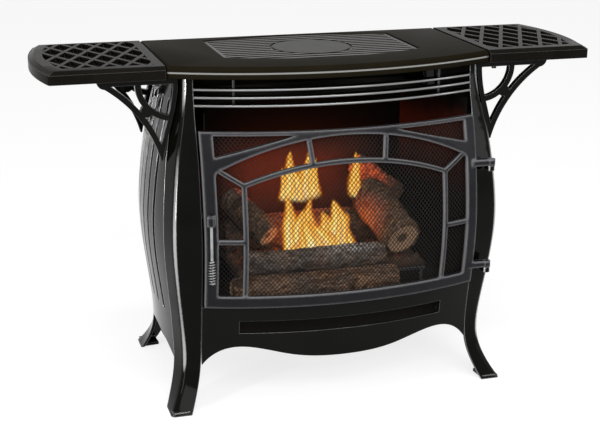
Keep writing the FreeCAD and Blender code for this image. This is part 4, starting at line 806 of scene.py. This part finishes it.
@dataclass
class Log:
    """One ceramic log between two end centres."""

    node: str
    start: Point
    end: Point
    radius: float
    seed: int
    rows: int = 110
    columns: int = 108
    cap_rows: int = 12
    bark: float = 0.0042
    squash: float = 0.0
    heat: Tuple[Point, float] = ((0.0, 0.0, 0.0), 0.0)
    warm: float = 0.5
    dusted: Pair = (0.0, 0.0)
    warp_waves: Waves = (7, 2.0, 3)
    coarse_waves: Waves = (22, 4.0, 13)
    fine_waves: Waves = (40, 16.0, 38)
    core: float = 0.06
    dish: float = 0.004
    ring_relief: float = 0.0008
    end_ease: float = 0.08
    ease_length: float = 0.012

    def build(self, material: Material) -> None:
        """Make the log: bark of ridged waves carried round the axis, and two ringed, slightly hollow ends."""
        start, end = np.array(self.start), np.array(self.end)
        length = np.linalg.norm(end - start)
        axis = (end - start) / length
        side = np.cross(axis, [0.0, 0.0, 1.0])
        side /= np.linalg.norm(side)
        up = np.cross(side, axis)
        cap = np.linspace(self.core, 1, self.cap_rows, endpoint=False)
        u = np.concatenate([np.zeros(self.cap_rows), np.linspace(0, 1, self.rows), np.ones(self.cap_rows)])
        share = np.concatenate([cap, np.ones(self.rows), cap[::-1]])
        cut = np.concatenate([np.ones(self.cap_rows), np.zeros(self.rows), np.ones(self.cap_rows)])
        v = np.linspace(0, math.tau, self.columns, endpoint=False)
        uu, vv = np.meshgrid(u, v, indexing="ij")
        warp = wave_field(uu, vv, self.seed, *self.warp_waves)
        coarse = wave_field(uu, vv + 0.35 * warp, self.seed + 1, *self.coarse_waves)
        fine = wave_field(uu, vv + 0.2 * warp, self.seed + 2, *self.fine_waves)
        ridge = 1 - np.abs(0.65 * coarse + 0.35 * fine)
        ridge = np.clip(ridge, 0, 1) ** 1.3
        crack = np.clip(np.abs(coarse) * 5, 0, 1)
        swell = 0.96 + 0.03 * np.sin(math.tau * (1.4 * uu + 0.1 * self.seed)) + 0.012 * warp
        from_end = np.minimum(uu, 1 - uu) * length
        eased = 1 - self.end_ease * np.clip(1 - from_end / self.ease_length, 0, 1) ** 2
        relief = self.bark * (0.55 * ridge + 0.45 * crack - 1.0)
        radius = (self.radius * swell + relief) * eased * share[:, None]
        rings = self.ring_relief * np.sin(share[:, None] * 40 + 2 * warp) * cut[:, None]
        hollow = self.dish * (1 - share[:, None] ** 2) + rings
        place = uu * length + np.where(uu < 0.5, hollow, -hollow) * cut[:, None]
        points = (start + place[..., None] * axis + (radius * np.cos(vv))[..., None] * side
                  + (radius * np.sin(vv))[..., None] * up)
        poles = np.stack([start + self.dish * axis, end - self.dish * axis])
        rows = len(u)
        ring = np.arange(self.columns)
        after = (ring + 1) % self.columns
        total = rows * self.columns
        fans = np.concatenate([np.stack([np.full_like(ring, total), after, ring], -1),
                               np.stack([np.full_like(ring, total + 1), total - self.columns + ring,
                                         total - self.columns + after], -1)])
        quads = grid_quads(rows, self.columns, True)
        all_points = np.concatenate([points.reshape(-1, 3), poles])
        all_points[:, 2] = np.maximum(all_points[:, 2], self.squash)
        centre, reach = np.array(self.heat[0]), self.heat[1]
        away = np.linalg.norm(all_points - centre, axis=1)
        glow = np.clip(1 - away / reach, 0, 1) if reach > 0 else np.zeros(len(all_points))
        crown = np.append(np.clip(np.sin(vv) * 2.2 - 1.0, 0, 1), [0.0, 0.0])
        middle, spread = self.dusted
        dust = crown * np.exp(-((all_points[:, 0] - middle) / max(spread, 0.001)) ** 2) * (spread > 0)
        values = {
            "ridge": np.append(0.5 * ridge + 0.5 * crack, [0.5, 0.5]),
            "cut": np.append(np.repeat(cut, self.columns), [1.0, 1.0]),
            "ring": np.append(np.repeat(share, self.columns), [0.0, 0.0]),
            "glow": glow,
            "warm": np.full(len(all_points), self.warm),
            "dust": dust,
        }
        piece = add_piece(self.node + "_bark", all_points, [quads, fans], material, values)
        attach(piece, "stove")
        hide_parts(self.node)


@dataclass
class EmberBed:
    """Crumbled bed that the logs and the flames stand in."""

    rows: int = 110
    columns: int = 170
    lumps: int = 420
    seed: int = 11
    slab: float = 0.008
    lump_sizes: Pair = (0.006, 0.015)
    lump_rises: Pair = (0.5, 1.0)
    border: float = 0.006
    burner_lines: Pair = (-0.0713, -0.0063)
    glow_widths: Pair = (0.035, 0.03)
    glow_x: float = -0.01
    glow_reach: float = 0.14
    crest: float = 0.012

    def build(self, material: Material) -> None:
        """Make the bed: the highest of many round lumps over a slab, closed below."""
        low, high = (np.array(c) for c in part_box("ember_bed"))
        base = low[2]
        top = base + self.slab
        x = np.linspace(low[0], high[0], self.columns)
        y = np.linspace(low[1], high[1], self.rows)
        yy, xx = np.meshgrid(y, x, indexing="ij")
        draw = np.random.default_rng(self.seed)
        cx = draw.uniform(low[0], high[0], self.lumps)
        cy = draw.uniform(low[1], high[1], self.lumps)
        size = draw.uniform(*self.lump_sizes, self.lumps)
        tall = size * draw.uniform(*self.lump_rises, self.lumps)
        height = np.zeros_like(xx)
        for i in range(self.lumps):
            away = ((xx - cx[i]) ** 2 + (yy - cy[i]) ** 2) / size[i] ** 2
            height = np.maximum(height, tall[i] * np.sqrt(np.clip(1 - away, 0, 1)))
        edge = np.minimum(np.minimum(xx - low[0], high[0] - xx), np.minimum(yy - low[1], high[1] - yy))
        height = height * np.clip(edge / self.border, 0, 1)
        skins = [np.stack([xx, yy, zz], -1) for zz in (top + height, np.full_like(xx, base))]
        faces = shell_faces(self.rows, self.columns)
        under = np.zeros(xx.size)
        lines = zip(self.burner_lines, self.glow_widths)
        front, rear = (np.exp(-((yy - line) / width) ** 2) for line, width in lines)
        middling = np.clip(1.25 - np.abs(xx - self.glow_x) / self.glow_reach, 0, 1)
        near = np.clip(front + 0.6 * rear, 0, 1) * middling
        values = {
            "ridge": np.append(np.clip(height / self.crest, 0, 1), under),
            "glow": np.append(near, under),
        }
        piece = add_piece("ember_crumbs", np.stack(skins), [faces], material, values)
        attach(piece, "stove")
        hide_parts("ember_bed")


@dataclass
class GripCoil:
    """Coiled-wire grip on the handle's rod: tight on the rod at both ends and swollen between them."""

    turns: int = 9
    wire: float = 0.0013
    rod: float = 0.003
    swollen: float = 0.0068
    per_turn: int = 28
    around: int = 10

    def build(self, material: Material) -> None:
        """Make the coil: a round wire wound up the rod's own line."""
        rod_low, rod_high = (np.array(c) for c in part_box("handle_rod"))
        low, high = (np.array(c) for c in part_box("handle_coil"))
        middle = (rod_low + rod_high) / 2
        t = np.linspace(0, 1, self.turns * self.per_turn + 1)
        angle = math.tau * self.turns * t
        tight = self.rod + self.wire
        radius = tight + (self.swollen - tight) * np.clip(np.sin(math.pi * t), 0, 1) ** 0.5
        level = low[2] + self.wire + (high[2] - low[2] - 2 * self.wire) * t
        section = np.linspace(0, math.tau, self.around, endpoint=False)
        reach = radius[:, None] + self.wire * np.cos(section)
        points = np.stack([
            middle[0] + reach * np.cos(angle)[:, None],
            middle[1] + reach * np.sin(angle)[:, None],
            level[:, None] + self.wire * np.sin(section),
        ], -1)
        quads = grid_quads(len(t), self.around, True)[:, ::-1]
        ring = np.arange(self.around)
        ends = np.stack([ring, (len(t) - 1) * self.around + ring[::-1]])
        piece = add_piece("grip_coil", points, [quads, ends], material)
        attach(piece, "handle")
        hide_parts("handle_coil")


@dataclass
class SideShadeSheet:
    """Dark sheet close behind the slots of one side panel: painted shade, so the slots look dark inside."""

    side: int
    low: float = 0.092
    high: float = 0.612
    front: float = -0.0695
    back: float = 0.1128
    axis_x: float = 0.363
    middle_y: float = 0.0217
    stand_off: float = 0.0025
    sheet: float = 0.001
    rows: int = 48
    columns: int = 30
    levels: int = 40
    reach: float = 0.012
    fit_z: float = 0.35

    @property
    def hand(self) -> str:
        """The side's name."""
        return "right" if self.side > 0 else "left"

    def inner_radius(self, z: np.ndarray) -> np.ndarray:
        """Radius of the panel's inner face about its upright axis at each height, fitted to its points."""
        places = points_of("side_panel_" + self.hand)
        radius = np.hypot(np.abs(places[:, 0]) + self.axis_x, places[:, 1] - self.middle_y)
        level = np.linspace(self.low, self.high, self.levels)
        near = np.abs(places[None, :, 2] - level[:, None]) < self.reach
        nearest = np.where(near, radius[None], np.inf).min(1)
        held = np.isfinite(nearest)
        return fitted(level[held], nearest[held], z, self.fit_z)

    def build(self, material: Material) -> None:
        """Make the dark sheet: at each height an arc inside the panel's own, thickened and closed at its rim.
        """
        z, y = np.meshgrid(np.linspace(self.low, self.high, self.rows),
                           np.linspace(self.front, self.back, self.columns), indexing="ij")
        radius = self.inner_radius(z) - self.stand_off
        outer = np.sqrt(radius ** 2 - (y - self.middle_y) ** 2) - self.axis_x
        skins = [np.stack([self.side * x, y, z], -1) for x in (outer, outer - self.sheet)]
        faces = shell_faces(self.rows, self.columns)
        faces = faces if self.side > 0 else faces[:, ::-1]
        piece = add_piece("side_shade_sheet_" + self.hand, np.stack(skins), [faces], material)
        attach(piece, "stove")


class Turn(Enum):
    """Ways that the sheets of one flame stand round its middle line."""

    FRONT = 0.0
    RIGHT = 62.0
    LEFT = -58.0


@dataclass(frozen=True)
class Tongue:
    """One tongue of flame: foot, height, width and lean in metres."""

    foot: Point
    height: float
    width: float
    lean: float
    phase: float
    clear: float = 0.0


@dataclass
class FlameSet:
    """Flames over the burner, each of three crossing sheets."""

    tongues: Sequence[Tongue]
    rows: int = 40
    columns: int = 15
    side_share: float = 0.6

    def grid(self) -> Sequence[np.ndarray]:
        """Share of the height and place across, at each point of a sheet."""
        return np.meshgrid(np.linspace(0, 1, self.rows), np.linspace(-1, 1, self.columns), indexing="ij")

    def sheet(self, tongue: Tongue, turn: Turn) -> np.ndarray:
        """One sheet: width swells from the foot and tapers to the tip, the middle line wavers as it rises.

        Args:
            tongue: the flame.
            turn: how the sheet stands round the middle line.

        Returns:
            Grid of places.
        """
        v, u = self.grid()
        narrow = 1.0 if turn is Turn.FRONT else self.side_share
        half = tongue.width / 2 * narrow * (1 - v ** 2.2) ** 0.75
        waver = 0.1 * tongue.width * v * np.sin(math.tau * (0.8 * v + tongue.phase))
        ripple = 1 + 0.09 * np.sin(math.tau * (1.7 * v + tongue.phase + 0.25 * np.sign(u)))
        out = u * half * ripple
        bow = 0.25 * half * (1 - u ** 2)
        angle = math.radians(turn.value)
        middle = tongue.lean * v ** 1.4 + waver
        x = tongue.foot[0] + middle + out * math.cos(angle) + bow * math.sin(angle)
        y = tongue.foot[1] + out * math.sin(angle) - bow * math.cos(angle)
        return np.stack([x, y, tongue.foot[2] + tongue.height * v], -1)

    def build(self, material: Material) -> None:
        """Make each tongue as one piece of three sheets."""
        v, u = self.grid()
        quads = grid_quads(self.rows, self.columns, False)
        count = self.rows * self.columns
        for i, tongue in enumerate(self.tongues):
            sheets = [self.sheet(tongue, turn) for turn in Turn]
            values = {
                "across": np.tile(np.abs(u).reshape(-1), len(sheets)),
                "height": np.tile(v.reshape(-1), len(sheets)),
                "lit": np.tile(np.clip(v - tongue.clear, 0, 1).reshape(-1), len(sheets)),
            }
            faces = [quads + count * k for k in range(len(sheets))]
            piece = add_piece("flame_%02d" % i, np.stack(sheets), faces, material, values)
            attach(piece, "stove")


@dataclass
class Cabinet:
    """The castings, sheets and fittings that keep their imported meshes."""

    finishes: Mapping[str, Any]
    special: Mapping[str, Any]
    crease: float = 32.0
    weld: float = 0.00001

    def dress(self) -> Dict[str, Material]:
        """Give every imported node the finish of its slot, or its own.

        Returns:
            The finishes made, by slot.
        """
        made = {slot: finish.make() for slot, finish in self.finishes.items()}
        own = {finish.name: finish.make() for finish in dict.fromkeys(self.special.values())}
        for row in frame["record"]["subparts"]:
            node, slot = row["node"], row["material_slot"]
            piece = frame["nodes"][node]
            piece.data.materials.clear()
            finish = own[self.special[node].name] if node in self.special else made[slot]
            piece.data.materials.append(finish)
            self.smooth(piece)
            LOG.info("%s: %s", node, slot)
        return made

    def smooth(self, piece: bpy.types.Object) -> None:
        """Shade curved faces smooth and keep creases sharp."""
        piece.data.polygons.foreach_set("use_smooth", np.ones(len(piece.data.polygons), bool))
        weld = piece.modifiers.new("weld", "WELD")
        weld.merge_threshold = self.weld
        split = piece.modifiers.new("crease", "EDGE_SPLIT")
        split.split_angle = math.radians(self.crease)
        split.use_edge_sharp = False


@dataclass(frozen=True)
class Lamp:
    """One soft lamp: place, aim, size and power."""

    name: str
    place: Point
    aim: Point
    width: float
    height: float
    power: float
    colour: Colour = (1.0, 1.0, 1.0)
    spread: float = 180.0

    def build(self) -> None:
        """Hang the lamp and turn it to its aim."""
        data = bpy.data.lights.new(self.name, "AREA")
        data.shape = "RECTANGLE"
        data.size, data.size_y = self.width, self.height
        data.energy = self.power
        data.color = self.colour
        data.spread = math.radians(self.spread)
        lamp = bpy.data.objects.new(self.name, data)
        lamp.location = self.place
        lamp.rotation_euler = (Vector(self.aim) - Vector(self.place)).to_track_quat("-Z", "Y").to_euler()
        bpy.context.scene.collection.objects.link(lamp)


@dataclass
class Studio:
    """Pale floor, soft lamps, the fire's own light and the camera."""

    lamps: Sequence[Lamp]
    eye: Point = (-0.699, -2.28528, 1.055)
    yaw: float = 16.25
    pitch: float = 17.37
    roll: float = 0.16
    focal: float = 1275.0
    picture: Tuple[int, int] = (600, 434)
    sky: float = 0.4
    reach: float = 8.0
    grey: float = 0.4
    lift: float = 0.76
    drop: float = 0.0004
    sensor: float = 36.0
    far: float = 60.0

    def floor(self) -> None:
        """Lay a pale floor that keeps a soft shadow and looks white to the eye."""
        points = self.reach * np.array([[-1, -1, 0], [1, -1, 0], [1, 1, 0], [-1, 1, 0]])
        s = Shader("pale_floor")
        plain = s.node("ShaderNodeBsdfDiffuse", {}, {"Color": (self.grey, self.grey, self.grey, 1.0)})
        lift = s.node("ShaderNodeEmission", {}, {"Color": WHITE, "Strength": s.seen() * self.lift})
        s.close(s.node("ShaderNodeAddShader", {}, {0: plain, 1: lift}))
        piece = add_piece("floor", points, [np.array([[0, 1, 2, 3]])], s.material, smooth=False)
        piece.location.z = -self.drop

    def sky_light(self) -> None:
        """World: white to the eye, in reflections and through glass, gentler as light."""
        world = bpy.data.worlds.new("studio")
        bpy.context.scene.world = world
        s = Shader("studio", world)
        strength = self.sky + (1.0 - self.sky) * s.seen()
        back = s.node("ShaderNodeBackground", {}, {"Color": WHITE, "Strength": strength})
        s.close(back, "ShaderNodeOutputWorld")

    def camera(self) -> None:
        """Stand the camera where the picture was taken from."""
        data = bpy.data.cameras.new("camera")
        data.sensor_fit = "HORIZONTAL"
        data.sensor_width = self.sensor
        data.lens = self.sensor * self.focal / self.picture[0]
        data.clip_end = self.far
        eye = bpy.data.objects.new("camera", data)
        yaw, tilt, roll = (math.radians(a) for a in (-self.yaw, 90 - self.pitch, self.roll))
        turn = Matrix.Rotation(yaw, 4, "Z") @ Matrix.Rotation(tilt, 4, "X")
        eye.matrix_world = Matrix.Translation(self.eye) @ turn @ Matrix.Rotation(roll, 4, "Z")
        bpy.context.scene.collection.objects.link(eye)
        bpy.context.scene.camera = eye

    def build(self) -> None:
        """Set the stage."""
        bpy.context.scene.view_settings.view_transform = "Standard"
        self.floor()
        self.sky_light()
        for lamp in self.lamps:
            lamp.build()
        self.camera()


LOGS: Sequence[Log] = (
    Log("log_low", (-0.205, -0.1453, 0.224), (0.114, -0.1493, 0.224), 0.027, 31, squash=0.200, warm=0.55),
    Log("log_front", (-0.170, -0.1013, 0.258), (0.104, -0.1033, 0.258), 0.025, 3, squash=0.236,
        warm=0.15, dusted=(0.03, 0.05)),
    Log("log_rear", (-0.178, 0.0457, 0.271), (0.196, 0.0457, 0.271), 0.038, 5, squash=0.236,
        heat=((-0.03, 0.0, 0.29), 0.09)),
    Log("log_left", (-0.110, -0.0523, 0.294), (-0.166, 0.0417, 0.348), 0.028, 8,
        heat=((-0.07, -0.03, 0.3), 0.07)),
    Log("log_right", (0.141, -0.1103, 0.285), (0.112, 0.0257, 0.344), 0.041, 13,
        heat=((0.072, -0.05, 0.31), 0.085), warm=0.6),
    Log("log_top", (0.188, 0.0537, 0.324), (0.098, 0.0567, 0.397), 0.024, 21,
        heat=((0.07, 0.03, 0.37), 0.06)),
)

TONGUES: Sequence[Tongue] = (
    Tongue((-0.032, 0.006, 0.312), 0.104, 0.094, 0.000, 0.45, 0.27),
    Tongue((-0.050, 0.004, 0.312), 0.136, 0.054, 0.002, 0.10, 0.24),
    Tongue((-0.020, 0.002, 0.312), 0.138, 0.054, 0.002, 0.55, 0.25),
    Tongue((-0.002, 0.000, 0.312), 0.118, 0.036, 0.000, 0.30, 0.28),
    Tongue((-0.066, 0.002, 0.312), 0.104, 0.030, -0.002, 0.80, 0.3),
    Tongue((-0.026, -0.073, 0.250), 0.080, 0.132, 0.000, 0.05),
    Tongue((-0.052, -0.072, 0.250), 0.100, 0.070, 0.000, 0.35),
    Tongue((-0.008, -0.072, 0.250), 0.094, 0.076, 0.000, 0.75),
    Tongue((-0.070, -0.071, 0.250), 0.132, 0.050, -0.012, 0.70),
    Tongue((-0.034, -0.070, 0.250), 0.124, 0.052, 0.002, 0.20),
    Tongue((0.016, -0.071, 0.250), 0.116, 0.072, 0.002, 0.85),
    Tongue((0.036, -0.069, 0.250), 0.086, 0.056, 0.000, 0.40),
    Tongue((0.080, 0.002, 0.312), 0.126, 0.046, -0.003, 0.62, 0.24),
    Tongue((0.080, 0.000, 0.312), 0.094, 0.038, 0.002, 0.15, 0.3),
)

FIRE_COLOUR: Colour = (1.0, 0.17, 0.04)
LAMPS: Sequence[Lamp] = (
    Lamp("lamp_over", (-0.1, -0.5, 2.5), (0.0, 0.0, 0.5), 1.8, 0.1, 11.0),
    Lamp("lamp_left", (-2.2, -1.3, 1.0), (0.0, 0.0, 0.4), 0.2, 1.8, 26.0),
    Lamp("lamp_right", (2.2, -1.4, 1.2), (0.0, 0.0, 0.4), 0.2, 1.6, 5.0),
    Lamp("lamp_front", (0.1, -2.5, 2.1), (0.0, -0.1, 0.4), 2.6, 1.2, 46.0),
    Lamp("firelight_left", (-0.045, 0.01, 0.385), (-0.045, 0.1, 0.385), 0.2, 0.1, 0.34, FIRE_COLOUR, 140.0),
    Lamp("firelight_right", (0.09, 0.01, 0.38), (0.09, 0.1, 0.38), 0.12, 0.08, 0.12, FIRE_COLOUR, 140.0),
    Lamp("ember_light", (0.0, -0.02, 0.44), (0.0, 0.0, 0.6), 0.3, 0.1, 0.01, (1.0, 0.07, 0.025)),
)


def main() -> None:
    """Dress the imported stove, build the fire and set the stage."""
    logging.basicConfig(level=logging.INFO, format="%(name)s %(message)s")
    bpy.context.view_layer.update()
    made = Cabinet(SLOT_FINISHES, NODE_FINISHES).dress()
    Screen().build(made["screen_black"])
    GripCoil().build(COIL_STEEL.make())
    # Dark sheets behind the side panels' slots: painted shade.
    for side in (-1, 1):
        SideShadeSheet(side).build(made["black_sheet"])
    bark = CharredLog().make()
    for log in LOGS:
        log.build(bark)
    EmberBed().build(EmberGlow().make())
    FlameSet(TONGUES).build(FlameLight().make())
    Studio(LAMPS).build()


if __name__ == "__main__":
    main()
